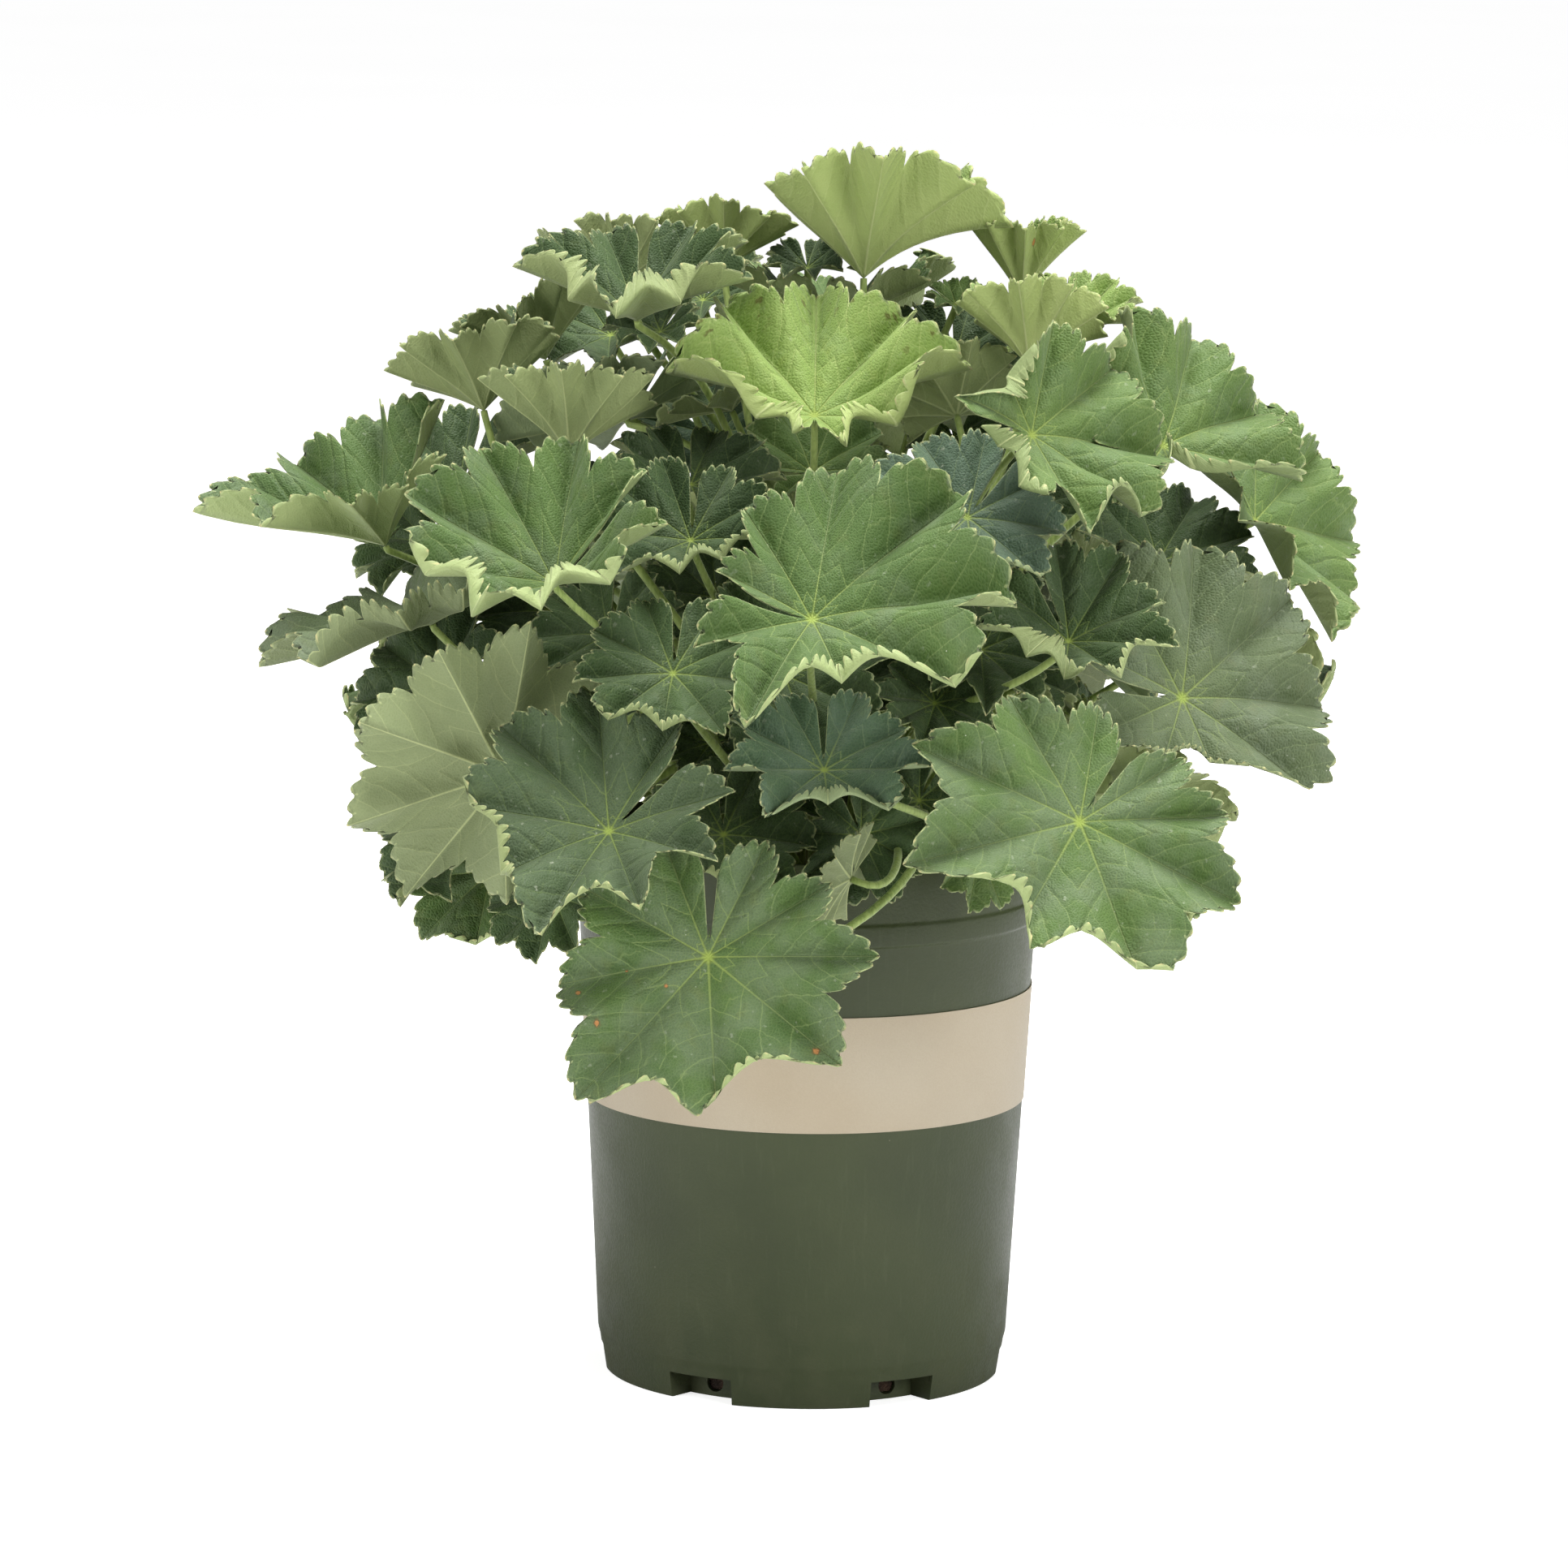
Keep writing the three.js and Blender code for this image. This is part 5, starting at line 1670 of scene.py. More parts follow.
@dataclass
class Foliage:
    """All the leaves, on the hubs and stalks of their CAD nodes, and the small ones added."""

    frame: dict[str, object]
    pot: Pot
    stalk_rings: int = 7
    stalk_below_hub: float = 1.8
    same_place: float = 0.01
    crown_radius: float = 46.0
    scorch: ClassVar[dict[str, float]] = {"top_4": 0.75}
    edge_hairs: HairField = field(default_factory=lambda: HairField("edge_hairs", 0.65, 0.04))
    stalk_hairs: HairField = field(default_factory=lambda: HairField("stalk_hairs", 1.3, 0.05))
    standing: list[Array] = field(default_factory=list)

    def stalk_way(self, node: Piece) -> Array:
        """The middles of a CAD stalk's three-cornered rings, in millimetres.

        The foot is the lowest ring within the crown, and each ring's neighbours are the next one.

        Args:
            node: The leaf's CAD object.

        Returns:
            One place to a row, from the blade down to the foot.
        """
        mesh = node.data
        points = np.empty(len(mesh.vertices) * 3)
        mesh.vertices.foreach_get("co", points)
        corners = np.empty(len(mesh.loops), int)
        mesh.loops.foreach_get("vertex_index", corners)
        rounded = np.round(points.reshape(-1, 3) / MM / self.same_place).astype(int)
        places, same = np.unique(rounded, axis=0, return_inverse=True)
        faces = same.ravel()[corners].reshape(-1, 3)
        outside = np.hypot(places[:, 0], places[:, 1]) * self.same_place > self.crown_radius
        ring = set(np.lexsort((places[:, 2], outside))[:3].tolist())
        seen, middles = set(ring), []
        for _ in range(self.stalk_rings):
            middles.append(places[list(ring)].mean(axis=0) * self.same_place)
            touching = faces[np.isin(faces, list(ring)).any(axis=1)]
            ring = set(touching.ravel().tolist()) - seen
            seen |= ring
        return np.array(middles[::-1])

    def build(self) -> None:
        """Makes every leaf in place of its node, the small ones, and the hairs of them all."""
        for seed, row in enumerate([*FRONT_LEAVES, *BackLeaves().rows()], start=1):
            name = f"leaf_{row.name}"
            way = self.stalk_way(self.frame["nodes"][name])
            blade = Blade(row, seed, hub=np.zeros(3))
            blade.hub = way[0] + blade.up * self.stalk_below_hub
            self.grow(blade, way, f"{name}_grown", name)
        self.standing.append(self.pot.rim_points())
        self.fill(InnerLeaves())
        for hairs in (self.edge_hairs, self.stalk_hairs):
            place_piece(hairs.build(HairFinish().material()), Tone.BRIGHT.value)

    def grow(self, blade: Blade, way: Array, name: str, *nodes: str) -> None:
        """Makes one leaf and notes where it stands.

        Args:
            blade: Its blade, on its hub.
            way: Its stalk's way, as Stalk takes it.
            name: The object's name.
            nodes: The CAD node that it stands for, where there is one.
        """
        parts = MeshParts()
        self.edge_hairs.gather(blade.add_to(parts, finish=0))
        self.stalk_hairs.gather(Stalk(way, blade.up, blade.seed).add_to(parts, finish=1))
        leaf = parts.build(name, [self.finish(blade.row).material(), StalkFinish().material()])
        place_piece(leaf, blade.row.tone.value, *nodes)
        self.standing.append(blade.surface(*blade.sparse()))

    def fill(self, inner: InnerLeaves) -> None:
        """Adds the small leaves where they are clear of the others.

        Args:
            inner: Their rule.
        """
        for seed, leaf in enumerate(inner.rows(), start=inner.settling_seed):
            points = np.concatenate(self.standing)
            tree = KDTree(len(points))
            for i, point in enumerate(points):
                tree.insert(point, i)
            tree.balance()
            blade = inner.settle(leaf, seed, tree)
            if blade is None:
                LOG.info("%s finds no clear place and is left out", leaf.row.name)
            else:
                self.grow(blade, inner.way(blade), f"leaf_{leaf.row.name}")

    def finish(self, row: LeafRow) -> LeafFinish:
        """The leaf's finish, with its own spots, frost and scorch where it has them.

        Args:
            row: The leaf.

        Returns:
            Its finish.
        """
        plain = LEAF_FINISHES[row.tone]
        if not row.spots and row.frost == plain.frost:
            return plain
        return replace(plain, name=f"{plain.name}_{row.name}", spots=row.spots, frost=row.frost,
                       scorch=self.scorch.get(row.name, 0.0))


@dataclass(frozen=True)
class InnerLeaf:
    """A small leaf inside the mound or over the rim.

    hub is its own place in millimetres, slide the way that it may move to find room, and clear
    how far its blade stays from the others.
    """

    row: LeafRow
    hub: Place
    slide: Place = (0.0, 0.99, -0.16)
    clear: float = 4.0


@dataclass(frozen=True)
class InnerTier:
    """Small leaves spaced round the inside of the mound at about one height."""

    count: int
    height: float
    out: float
    rise: float
    reach: float
    from_front: float = 0.0


FRONT_INNER = (
    InnerLeaf(LeafRow("inner_front_1", -20, 58, 20, 36, 24), (-78, 70, 375)),
    InnerLeaf(LeafRow("inner_front_2", -10, 60, -30, 31, 26), (-47, 80, 382)),
    InnerLeaf(LeafRow("inner_front_3", 10, 56, 40, 27, 26), (-6, 60, 399)),
    InnerLeaf(LeafRow("inner_front_4", 20, 58, 0, 29, 24), (51, 35, 372)),
    InnerLeaf(LeafRow("inner_front_5", -10, 50, 60, 36, 18, tone=Tone.BLUE), (-46, 10, 345)),
    InnerLeaf(LeafRow("inner_front_6", 5, 52, 120, 30, 20, tone=Tone.BRIGHT), (1, -25, 335)),
    InnerLeaf(LeafRow("inner_front_7", -10, 48, -50, 32, 18), (-34, -35, 288)),
    InnerLeaf(LeafRow("inner_front_8", 14, 44, 30, 32, 16), (60, -60, 274)),
    InnerLeaf(LeafRow("inner_front_9", 10, 36, -30, 24, 14), (39, -68, 221)),
    InnerLeaf(LeafRow("inner_front_10", -40, 50, 0, 30, 16), (-146, 10, 300)),
    InnerLeaf(LeafRow("inner_front_11", 0, 48, 70, 34, 18), (4, -50, 254)),
    InnerLeaf(LeafRow("inner_front_12", 20, 56, -60, 30, 22), (75, -20, 321)),
    InnerLeaf(LeafRow("inner_front_13", -20, 44, 30, 34, 16, tone=Tone.BLUE), (-86, -50, 242)),
    InnerLeaf(LeafRow("inner_front_14", -5, 40, -20, 26, 14), (-16, -66, 224)),
    InnerLeaf(LeafRow("inner_front_15", 20, 40, 50, 32, 16), (73, -60, 228)),
    InnerLeaf(LeafRow("inner_front_16", 10, 46, -20, 24, 14), (43, -88, 256), clear=2.5),
    InnerLeaf(LeafRow("inner_front_17", -14, 44, 20, 20, 12), (-34, -76, 240), clear=2.5),
    InnerLeaf(LeafRow("inner_top_1", -10, 66, 20, 18, 24), (-6, 25, 404), clear=2),
    InnerLeaf(LeafRow("inner_top_2", 20, 66, 60, 15, 22, tone=Tone.BRIGHT), (51, 20, 391), clear=2),
    InnerLeaf(LeafRow("inner_top_3", -20, 60, -30, 20, 22), (-57, 45, 376), clear=2.5),
    InnerLeaf(LeafRow("inner_top_4", 10, 54, 10, 22, 18), (51, 32, 339), clear=2.5),
    InnerLeaf(LeafRow("rim_1", 12, 8, 24, 26, 7, curl=6, wave=6, pleat=8), (18, -92, 212), (0.3, 0.9, 0),
              1.4),
    InnerLeaf(LeafRow("rim_2", 34, 10, 20, 22, 8, curl=4, wave=6, tone=Tone.BRIGHT), (60, -80, 205),
              (0.5, 0.3, 0), 1.4),
)


@dataclass
class InnerLeaves:
    """The mound's filling: small leaves on their own stalks, clear of every blade before them.

    A leaf that finds no room is tried again further on by slide_step and moved at random by up
    to wander. Its stalk leaves the soil upright and comes to the blade from under it, leaning
    outwards; one outside rim_radius passes over_rim. Lengths are in millimetres.
    """

    tiers: tuple[InnerTier, ...] = (
        InnerTier(7, height=222, out=92, rise=34, reach=36),
        InnerTier(8, height=262, out=104, rise=42, reach=38),
        InnerTier(7, height=312, out=86, rise=52, reach=36),
        InnerTier(4, height=356, out=56, rise=66, reach=30, from_front=70),
    )
    tones: tuple[Tone, ...] = (Tone.DARK, Tone.GREEN, Tone.DARK, Tone.BLUE)
    first_seed: int = 300
    seeds_per_tier: int = 20
    settling_seed: int = 400
    settling_use: int = 130
    bearing: Drawn = Drawn(12, use=1)
    facing: Drawn = Drawn(25, use=2)
    rise: Drawn = Drawn(10, use=3)
    reach: Drawn = Drawn(5, use=5)
    height: Drawn = Drawn(10, use=9)
    slopes: ClassVar[dict[str, Drawn]] = {
        "turn": Drawn(120, use=4), "cup": Drawn(8, use=6, middle=18), "fold": Drawn(8, use=7),
        "nod": Drawn(5, use=8)}
    curl: float = 4.0
    tries: int = 26
    stalk_clear: float = 2.2
    wander: float = 10.0
    slide_step: float = 2.2
    coarse: float = 0.4
    under_blade: int = 3
    soil_height: float = 172.0
    root_depth: float = 9.0
    stalk_below_hub: float = 1.8
    lean_height: float = 72.0
    lean_out: float = 90.0
    up_share: float = 0.8
    upright_share: float = 0.4
    leaning_share: float = 0.3
    rim_radius: float = 78.0
    over_rim: float = 211.0
    root_share: float = 0.32
    crown: float = 40.0
    way_points: int = 6

    def rows(self) -> list[InnerLeaf]:
        """The front ones placed one by one, then the rest by rule.

        Returns:
            All of them, in the order in which they find their places.
        """
        found = list(FRONT_INNER)
        for level, tier in enumerate(self.tiers):
            for i in range(tier.count):
                seed = self.first_seed + self.seeds_per_tier * level + i
                spread = 360 - 2 * tier.from_front
                bearing = self.bearing.of(seed, tier.from_front + spread * (i + 0.5) / tier.count)
                across, back = math.sin(math.radians(bearing)), -math.cos(math.radians(bearing))
                row = LeafRow(
                    f"inner_{level + 1}{i + 1}", self.facing.of(seed, bearing), self.rise.of(seed, tier.rise),
                    reach=self.reach.of(seed, tier.reach), curl=self.curl,
                    tone=self.tones[(level + i) % len(self.tones)],
                    **{name: slope.of(seed) for name, slope in self.slopes.items()})
                hub = (tier.out * across, tier.out * back, self.height.of(seed, tier.height))
                found.append(InnerLeaf(row, hub, (-across, -back, 0.0)))
        return found

    def settle(self, leaf: InnerLeaf, seed: int, standing: KDTree) -> Blade | None:
        """Looks for a place near its own where the leaf is clear of the others.

        Args:
            leaf: The leaf.
            seed: Its seed.
            standing: Points of the blades that already stand, in millimetres.

        Returns:
            Its blade, where the stalk is clear as well if there is such a place, or None where
            not even the blade is.
        """
        spare = None
        for attempt in range(self.tries):
            wide = self.wander * attempt / self.tries
            move = np.array([vary(wide, seed, self.settling_use + 3 * attempt + axis) for axis in range(3)])
            slid = self.slide_step * attempt * np.array(leaf.slide)
            blade = Blade(leaf.row, seed, hub=np.array(leaf.hub) + move + slid, fine=False)
            if self.nearest(blade.surface(*blade.sparse(self.coarse)), standing) < leaf.clear:
                continue
            spare = spare or blade
            stalk = Stalk(self.way(blade), blade.up, seed).centres()
            if self.nearest(stalk[self.under_blade:], standing) > self.stalk_clear:
                return blade
        return spare

    @staticmethod
    def nearest(points: Array, standing: KDTree) -> float:
        """How near the points come to the blades that stand, in millimetres."""
        return min(standing.find(point)[2] for point in points)

    def way(self, blade: Blade) -> Array:
        """A bent stalk from the blade to the crown.

        Args:
            blade: The leaf's blade.

        Returns:
            Places in millimetres from the blade down to the foot, in the form that Stalk takes.
        """
        root = blade.hub[:2] * self.root_share
        root = root * min(1.0, self.crown / max(1.0, float(np.hypot(*root))))
        collar = np.array([*root, self.soil_height])
        end = blade.hub - blade.up * self.stalk_below_hub
        far = float(np.linalg.norm(end - collar))
        outward = np.array([*blade.hub[:2], self.lean_height]) / self.lean_out
        lean = unit(outward + self.up_share * blade.up)
        first, second = collar + [0, 0, self.upright_share * far], end - lean * self.leaning_share * far
        if np.hypot(*blade.hub[:2]) > self.rim_radius:
            second[2] = max(second[2], self.over_rim)
        t = column(np.linspace(1, 0, self.way_points))
        u = 1 - t
        curve = u ** 3 * collar + 3 * t * u ** 2 * first + 3 * t * t * u * second + t ** 3 * end
        return np.concatenate([curve, [collar - [0, 0, self.root_depth]]])


def place_piece(piece: Piece, slot: str, *nodes: str) -> None:
    """Attaches a finished piece to the plant's body, hides the CAD nodes that it stands for, and reports it.

    Args:
        piece: The piece.
        slot: The record's slot for its finish; not used.
        nodes: The CAD nodes that it stands for.
    """
    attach(piece, BODY)
    if nodes:
        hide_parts(*nodes)
    LOG.info("%s: %d triangles", piece.name, sum(len(p.vertices) - 2 for p in piece.data.polygons))


# Pot, band and soil


def from_shape(name: str, shape: Shape, outward: bool = True) -> Piece:
    """Turns a bmesh into an object.

    Args:
        name: The object's name.
        shape: The bmesh, which is freed.
        outward: Whether its faces are first turned to look outward.

    Returns:
        The object, linked to the scene.
    """
    if outward:
        bmesh.ops.recalc_face_normals(shape, faces=shape.faces)
    mesh = bpy.data.meshes.new(name)
    shape.to_mesh(mesh)
    shape.free()
    return linked(name, mesh)


def turned(radius: float, angle: float, height: float) -> Place:
    """A place in metres, from a radius and a height in millimetres and an angle in radians."""
    return radius * math.cos(angle) * MM, radius * math.sin(angle) * MM, height * MM


def join_rings(shape: Shape, rings: Sequence[Sequence[bmesh.types.BMVert]]) -> None:
    """Joins rings of points with faces, each to the next. A ring of one point closes an end.

    Args:
        shape: The mesh.
        rings: Its rings in order.
    """
    for lower, upper in zip(rings, rings[1:]):
        around = max(len(lower), len(upper))
        for k in range(around):
            places = ((lower, k), (lower, k + 1), (upper, k + 1), (upper, k))
            corners = [ring[i % around % len(ring)] for ring, i in places]
            shape.faces.new(list(dict.fromkeys(corners)))


def round_edges(profile: Sequence[tuple[float, float]], radius: float,
                steps: int = 3) -> list[tuple[float, float]]:
    """Rounds the corners of an open outline.

    Args:
        profile: Its corners.
        radius: How far from a corner the round begins, less where an edge is short.
        steps: How many stretches a round has.

    Returns:
        The rounded outline, with its ends kept.
    """
    made = [profile[0]]
    for before, corner, after in zip(profile, profile[1:], profile[2:]):
        here = np.array(corner)
        back, on = np.array(before) - here, np.array(after) - here
        reach = min(radius, np.linalg.norm(back) / 2, np.linalg.norm(on) / 2)
        start, end = here + unit(back) * reach, here + unit(on) * reach
        for step in range(steps + 1):
            t = step / steps
            made.append(tuple((1 - t) ** 2 * start + 2 * t * (1 - t) * here + t * t * end))
    return [*made, profile[-1]]


def lathe(name: str, profile: Sequence[tuple[float, float]], around: int) -> Piece:
    """Turns an outline round the upright axis.

    Args:
        name: The object's name.
        profile: Radius and height in millimetres at each corner. A radius of 0 closes an end.
        around: How many facets there are around.

    Returns:
        The solid, with its faces outward.
    """
    shape = bmesh.new()
    rings = []
    for radius, height in profile:
        angles = [2 * math.pi * k / around for k in range(around if radius > 1e-6 else 1)]
        rings.append([shape.verts.new(turned(radius, angle, height)) for angle in angles])
    join_rings(shape, rings)
    return from_shape(name, shape)


def shade_by_angle(piece: Piece, degrees: float = 32) -> None:
    """Shades a mesh smooth, with hard lines where its faces meet sharply.

    Args:
        piece: The object.
        degrees: The angle past which a line is hard.
    """
    shape = bmesh.new()
    shape.from_mesh(piece.data)
    for face in shape.faces:
        face.smooth = True
    for edge in shape.edges:
        edge.smooth = len(edge.link_faces) == 2 and edge.calc_face_angle(0.0) < math.radians(degrees)
    shape.to_mesh(piece.data)
    shape.free()


@dataclass
class Pot:
    """The nursery pot: a thin moulded wall, and six recesses with drain holes at its foot.

    Its wall widens over a small step to a lip, lip_low to lip_high, which stands proud by
    lip_proud and ends in a ledge. Above that is the plain rim. Sizes are in millimetres and
    degrees.
    """

    height: float = 200.2
    wall: float = 1.6
    floor: float = 2.0
    foot_radius: float = 72.4
    flare_radius: float = 74.3
    flare_height: float = 12.4
    inner_flare_height: float = 12.0
    step_height: float = 15.0
    step_radius: float = 75.0
    lip_low: float = 169.4
    lip_low_radius: float = 83.3
    lip_high: float = 177.7
    lip_proud: float = 1.0
    ledge_half: float = 0.5
    edge_round: float = 0.7
    around: int = 144
    recess_count: int = 6
    recess_first: float = -60.0
    recess_half: float = 10.0
    recess_height: float = 9.6
    recess_back: float = 62.0
    recess_steps: int = 10
    lining_into_wall: float = 0.4
    lining_wider: float = 1.4
    drain_radius: float = 3.4
    drain_height: float = 5.0
    drain_sides: int = 24
    rim_levels: int = 6
    rim_step: float = 2.5

    def radius_at(self, height: float) -> float:
        """The wall's outer radius at a height, both in millimetres."""
        up = (height - self.step_height) / (self.lip_low - self.step_height)
        return self.step_radius + (self.lip_low_radius - self.step_radius) * up

    def rim_points(self) -> Array:
        """Places on the upper wall, which the leaves that are added keep clear of.

        Returns:
            One place to a row, in millimetres.
        """
        angles = np.radians(np.arange(0, 360, self.rim_step))
        levels = np.linspace(self.lip_high, self.height, self.rim_levels)
        height, angle = (grid.ravel() for grid in np.meshgrid(levels, angles))
        radius = self.radius_at(self.height) - self.wall / 2
        return np.stack([radius * np.cos(angle), radius * np.sin(angle), height], axis=1)

    def profile(self) -> list[tuple[float, float]]:
        """Half the pot's section, from the middle of its base round to the middle of its floor.

        Returns:
            Radius and height at each corner.
        """
        lip = self.lip_low_radius + self.lip_proud
        ledge_top = self.lip_high + self.ledge_half
        corners = [
            (0.0, 0.0),
            (self.foot_radius, 0.0),
            (self.flare_radius, self.flare_height),
            (self.step_radius, self.step_height),
            (self.lip_low_radius, self.lip_low),
            (lip, self.lip_low + self.edge_round),
            (lip, self.lip_high - self.ledge_half),
            (self.radius_at(ledge_top), ledge_top),
            (self.radius_at(self.height), self.height),
            (self.radius_at(self.height) - self.wall, self.height),
            (self.radius_at(self.inner_flare_height) - self.wall, self.inner_flare_height),
            (self.foot_radius - self.wall, self.floor),
            (0.0, self.floor),
        ]
        return round_edges(corners, self.edge_round)

    def bearings(self) -> list[float]:
        """The bearings of the recesses in degrees."""
        return [self.recess_first + i * 360 / self.recess_count for i in range(self.recess_count)]

    def sector(self, name: str, radii: tuple[float, float], heights: tuple[float, float],
               half: float) -> Piece:
        """Six blocks that follow the pot's round.

        Args:
            name: The object's name.
            radii: Inner and outer radius.
            heights: Lower and upper height.
            half: Half the width of each in degrees.

        Returns:
            The blocks as one object.
        """
        shape = bmesh.new()
        steps = self.recess_steps
        for middle in self.bearings():
            angles = [math.radians(middle - half + 2 * half * k / steps) for k in range(steps + 1)]
            outline = [(radii[1], a) for a in angles] + [(radii[0], a) for a in reversed(angles)]
            levels = [[shape.verts.new(turned(r, a, z)) for r, a in outline] for z in heights]
            shape.faces.new(levels[0][::-1])
            shape.faces.new(levels[1])
            join_rings(shape, levels)
        return from_shape(name, shape)

    def drains(self) -> Piece:
        """Six round bars where the drain holes go.

        Returns:
            The bars as one object.
        """
        shape = bmesh.new()
        for bearing in map(math.radians, self.bearings()):
            lying = Matrix.Rotation(bearing, 4, "Z") @ Matrix.Rotation(math.pi / 2, 4, "Y")
            middle = Vector(turned(self.recess_back - self.wall / 2, bearing, self.drain_height))
            radius = self.drain_radius * MM
            bmesh.ops.create_cone(
                shape, cap_ends=True, segments=self.drain_sides, radius1=radius, radius2=radius,
                depth=4 * self.wall * MM, matrix=Matrix.Translation(middle) @ lying)
        return from_shape("drain_bars", shape, outward=False)

    def build(self) -> None:
        """Turns the wall, adds the linings, cuts the recesses and the drain holes."""
        whole = lathe("pot_turned", self.profile(), self.around)
        linings = self.sector(
            "linings", (self.recess_back - self.wall, self.foot_radius - self.lining_into_wall),
            (self.lining_into_wall, self.recess_height + self.wall), self.recess_half + self.lining_wider)
        hollows = self.sector("hollows", (self.recess_back, self.step_radius + self.wall),
                              (-self.floor, self.recess_height), self.recess_half)
        tools = (("UNION", linings), ("DIFFERENCE", hollows), ("DIFFERENCE", self.drains()))
        for operation, tool in tools:
            cut = whole.modifiers.new(tool.name, "BOOLEAN")
            cut.operation, cut.object, cut.solver = operation, tool, "EXACT"
        pot = kept(whole, "pot_moulded", PLASTIC.material())
        for _, tool in tools:
            bpy.data.objects.remove(tool)
        shade_by_angle(pot)
        place_piece(pot, "pot_plastic", "pot")


@dataclass
class LabelBand:
    """The bare beige band, a thin film wrapped round the pot with its ends lapped at the back."""

    pot: Pot
    low: float = 102.4
    high: float = 144.5
    thick: float = 0.4
    gap: float = 0.08
    around: int = 180
    lap_degrees: float = 6.0
    lap_bearing: float = 90.0

    def build(self) -> None:
        """Wraps the film."""
        lower, upper = self.pot.radius_at(self.low), self.pot.radius_at(self.high)
        shape = bmesh.new()
        steps = self.around
        climb = 2 * self.lap_degrees / 360
        rows = []
        for k in range(steps + 1):
            angle = math.radians(self.lap_bearing + (360 + self.lap_degrees) * k / steps)
            lapped = max(0.0, (k - steps * (1 - climb)) / (steps * climb))
            away = self.gap + min(1.0, lapped) * (self.thick + self.gap)
            inner = [(lower + away, self.low), (upper + away, self.high)]
            outer = [(radius + self.thick, height) for radius, height in reversed(inner)]
            rows.append([shape.verts.new(turned(r, angle, z)) for r, z in (*inner, *outer)])
        join_rings(shape, rows)
        shape.faces.new(rows[0])
        shape.faces.new(rows[-1][::-1])
        band = from_shape("band_wrapped", shape)
        shade_by_angle(band)
        band.data.materials.append(PRINT.material())
        place_piece(band, "band_print", "label_band")


@dataclass
class Soil:
    """The potting mix: a closed body up to a rough surface, and crumbs lying on it."""

    pot: Pot
    level: float = 174.0
    dished: float = 2.0
    rolling: float = 1.4
    rough: float = 0.5
    gap: float = 0.3
    around: int = 96
    rings: int = 26
    crumb: float = 1.5
    crumbs_per_mm2: float = 0.13
    smallest: Place = (0.35, 0.3, 0.3)
    largest: Place = (1.3, 1.0, 0.8)
    steepest: float = 0.7
    seed: int = 11

    def surface_at(self, x: float, y: float) -> float:
        """The height of the surface: a dish with rolls and finer lumps in it.

        Args:
            x: How far to the right, in millimetres.
            y: How far to the back, in millimetres.

        Returns:
            The height in millimetres.
        """
        out = math.hypot(x, y) / self.pot.lip_low_radius
        rolls = self.rolling * math.sin(x * 0.09 + 1) * math.cos(y * 0.11)
        lumps = self.rough * math.sin(x * 0.61 + y * 0.23) * math.cos(y * 0.53 - x * 0.17)
        return self.level - self.dished * out * out + rolls + lumps

    def body(self) -> Piece:
        """The soil's body, which fills the pot up to its surface.

        Returns:
            The body.
        """
        pot = self.pot
        edge = pot.radius_at(self.level - self.dished) - pot.wall - self.gap
        lining = pot.recess_back - pot.wall - self.gap
        ledge = pot.recess_height + pot.wall + self.gap
        sides = [
            (0.0, pot.floor + self.gap),
            (lining, pot.floor + self.gap),
            (lining, ledge),
            (pot.radius_at(pot.inner_flare_height) - pot.wall - 2 * self.gap, ledge),
            (edge, self.level - self.dished),
        ]
        inward = [(edge * (1 - k / self.rings), self.level) for k in range(1, self.rings + 1)]
        body = lathe("soil_body", [*sides, *inward], self.around)
        for vertex in body.data.vertices:
            if vertex.co.z > (self.level - self.dished - self.gap) * MM:
                vertex.co.z = self.surface_at(vertex.co.x / MM, vertex.co.y / MM) * MM
        return body

    def tree(self, material: Material) -> Tree:
        """A tree that strews crumbs over what looks up.

        Args:
            material: The crumbs' finish.

        Returns:
            The tree.
        """
        sizes = {"Surface": None, "Crumb Size": self.crumb * MM, "Crumbs": self.crumbs_per_mm2 / MM ** 2}
        wiring = Wiring.group("soil_crumbs", "GeometryNodeTree", sizes, ("Strewn",))
        given = wiring.add("NodeGroupInput").outputs
        normal = wiring.read("Normal", "GeometryNodeInputNormal")
        upright = wiring.read("Z", "ShaderNodeSeparateXYZ", {"Vector": normal})
        upward = wiring.read("Result", "FunctionNodeCompare", {"A": upright, "B": self.steepest},
                             data_type="FLOAT", operation="GREATER_THAN")
        spread = wiring.read("Points", "GeometryNodeDistributePointsOnFaces", {
            "Mesh": given["Surface"], "Selection": upward, "Density": given["Crumbs"], "Seed": self.seed})
        crumb = wiring.read("Mesh", "GeometryNodeMeshIcoSphere",
                            {"Subdivisions": 1, "Radius": given["Crumb Size"]})
        scale = wiring.random(self.smallest, self.largest, self.seed + 1)
        rotation = wiring.random(ORIGIN, (math.tau, math.tau, math.tau), self.seed + 2)
        stand = wiring.stand(crumb, spread, scale, rotation)
        joined = wiring.add("GeometryNodeJoinGeometry", {"Geometry": stand})
        wiring.feed(joined, {"Geometry": given["Surface"]})
        return wiring.finished(joined.outputs["Geometry"], material, "Strewn")

    def build(self) -> None:
        """Fills the pot and strews the crumbs."""
        body = self.body()
        body.modifiers.new("soil_mix", "NODES").node_group = self.tree(SOIL.material())
        place_piece(kept(body, "soil_mix", SOIL.material()), "potting_mix", "soil")


# Studio


@dataclass(frozen=True)
class Lamp:
    """A square soft lamp: its place and the length of its sides in metres, its power in watts."""

    name: str
    place: Place
    size: float
    watts: float

    def hang(self, aim: Vector) -> None:
        """Hangs it so that it looks at the plant.

        Args:
            aim: The place that it looks at, in metres.
        """
        data = bpy.data.lights.new(self.name, "AREA")
        data.shape, data.size, data.energy = "SQUARE", self.size, self.watts
        lamp = linked(self.name, data)
        lamp.location = self.place
        lamp.rotation_euler = (aim - Vector(self.place)).to_track_quat("-Z", "Y").to_euler()


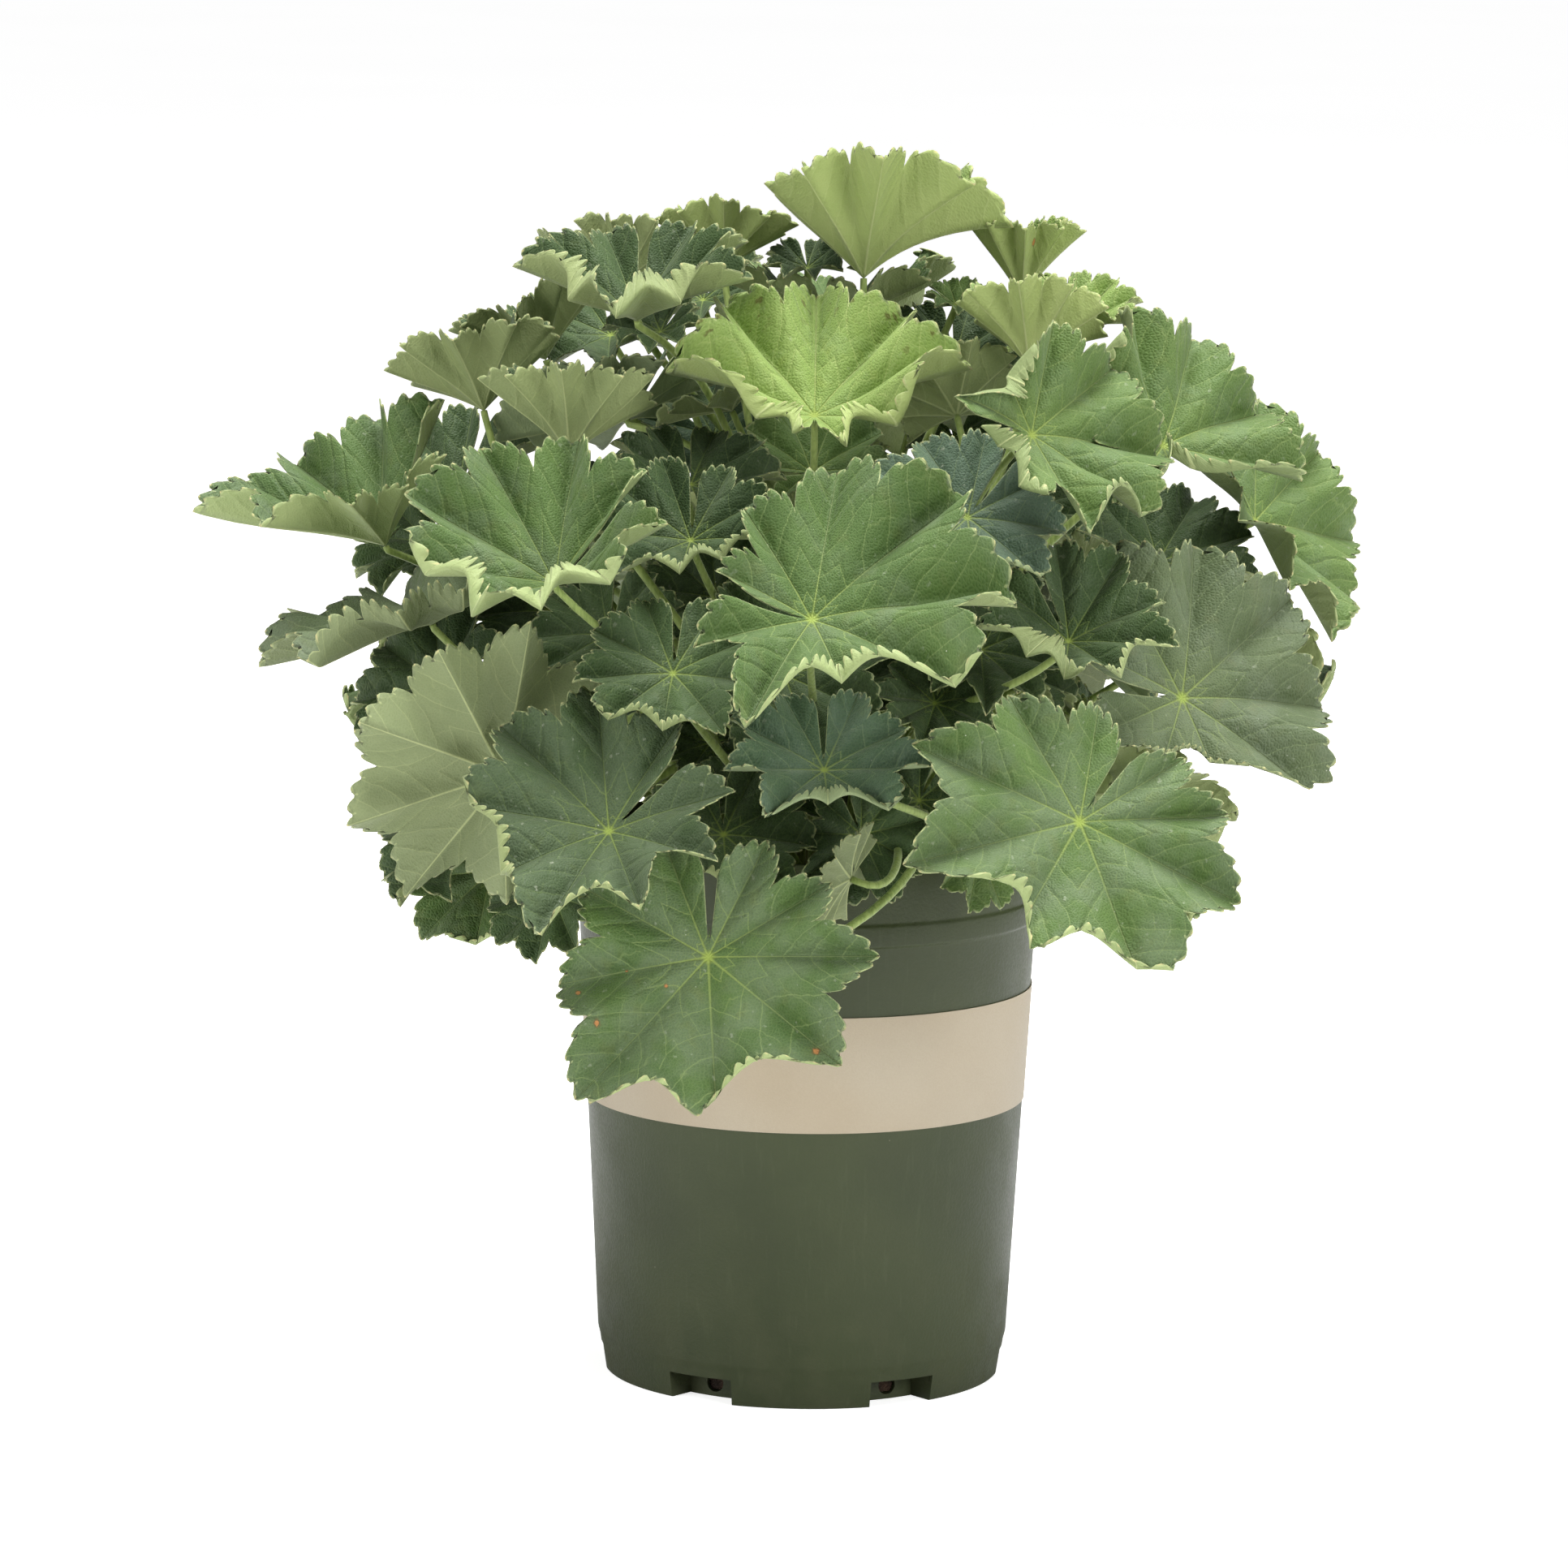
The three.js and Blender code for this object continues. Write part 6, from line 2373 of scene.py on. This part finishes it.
@dataclass
class Studio:
    """A white room with a pale floor, soft lamps, and the photograph's point of view.

    The camera looks at aim from distance, in metres, at an elevation and a roll in degrees.
    aim_across and aim_down say where the aim is in the picture, in its own pixels. lens and
    sensor are in millimetres.
    """

    aim: Place = (0.0, 0.0, 0.200)
    distance: float = 2.6629
    elevation: float = 8.965
    roll: float = 0.817
    lens: float = 167.70
    sensor: float = 36.0
    farthest: float = 20.0
    frame_width: float = 1932.0
    aim_across: float = 995.8
    aim_down: float = 1020.5
    floor_half: float = 15.0
    backdrop: float = 1.0
    room_light: float = 0.27
    lamps_above_aim: float = 0.08
    lamps: tuple[Lamp, ...] = (
        Lamp("top_lamp", (0.2, 0.0, 2.4), size=1.8, watts=94),
        Lamp("key_lamp", (1.7, -1.8, 1.0), size=0.9, watts=32),
        Lamp("fill_lamp", (-2.0, -1.3, 0.9), size=1.4, watts=26),
    )

    def camera(self) -> None:
        """Stands the camera and makes it the scene's own."""
        data = bpy.data.cameras.new("photo_camera")
        data.lens, data.sensor_width, data.clip_end = self.lens, self.sensor, self.farthest
        middle = self.frame_width / 2
        turn = math.radians(self.roll)
        across, down = self.aim_across - middle, self.aim_down - middle
        data.shift_x = -(math.cos(turn) * across + math.sin(turn) * down) / self.frame_width
        data.shift_y = (math.cos(turn) * down - math.sin(turn) * across) / self.frame_width
        camera = linked("photo_camera", data)
        lift = math.radians(self.elevation)
        back = Vector((0.0, -math.cos(lift), math.sin(lift)))
        camera.location = Vector(self.aim) + back * self.distance
        level = back.to_track_quat("Z", "Y").to_matrix().to_4x4()
        camera.rotation_euler = (level @ Matrix.Rotation(turn, 4, "Z")).to_euler()
        bpy.context.scene.camera = camera

    def floor(self) -> None:
        """Lays the floor."""
        shape = bmesh.new()
        bmesh.ops.create_grid(shape, x_segments=2, y_segments=2, size=self.floor_half)
        floor = from_shape("studio_floor", shape, outward=False)
        floor.data.materials.append(FloorFinish().material())

    def room(self) -> None:
        """Makes the room white to the camera and dimmer as a light."""
        scene = bpy.context.scene
        world = scene.world or bpy.data.worlds.new("studio_room")
        scene.world = world
        world.use_nodes = True
        wiring = Wiring(world.node_tree)
        sky = next(node for node in world.node_tree.nodes if node.type == "BACKGROUND")
        seen = wiring.read("Is Camera Ray", "ShaderNodeLightPath")
        wiring.feed(sky, {"Color": (1.0, 1.0, 1.0, 1.0),
                          "Strength": seen * (self.backdrop - self.room_light) + self.room_light})

    def build(self) -> None:
        """Sets up the room, the floor, the lamps and the camera."""
        view = bpy.context.scene.view_settings
        view.view_transform, view.look = "Standard", "None"
        self.room()
        self.floor()
        for lamp in self.lamps:
            lamp.hang(Vector(self.aim) + Vector((0, 0, self.lamps_above_aim)))
        self.camera()
        LOG.info("studio: camera, %d lamps and floor", len(self.lamps))


def main() -> None:
    """Builds the scene in order."""
    logging.basicConfig(level=logging.INFO, format="%(name)s %(message)s")
    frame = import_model()
    Studio().build()
    pot = Pot()
    pot.build()
    LabelBand(pot).build()
    Soil(pot).build()
    Foliage(frame, pot).build()
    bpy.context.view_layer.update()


if __name__ == "__main__":
    main()
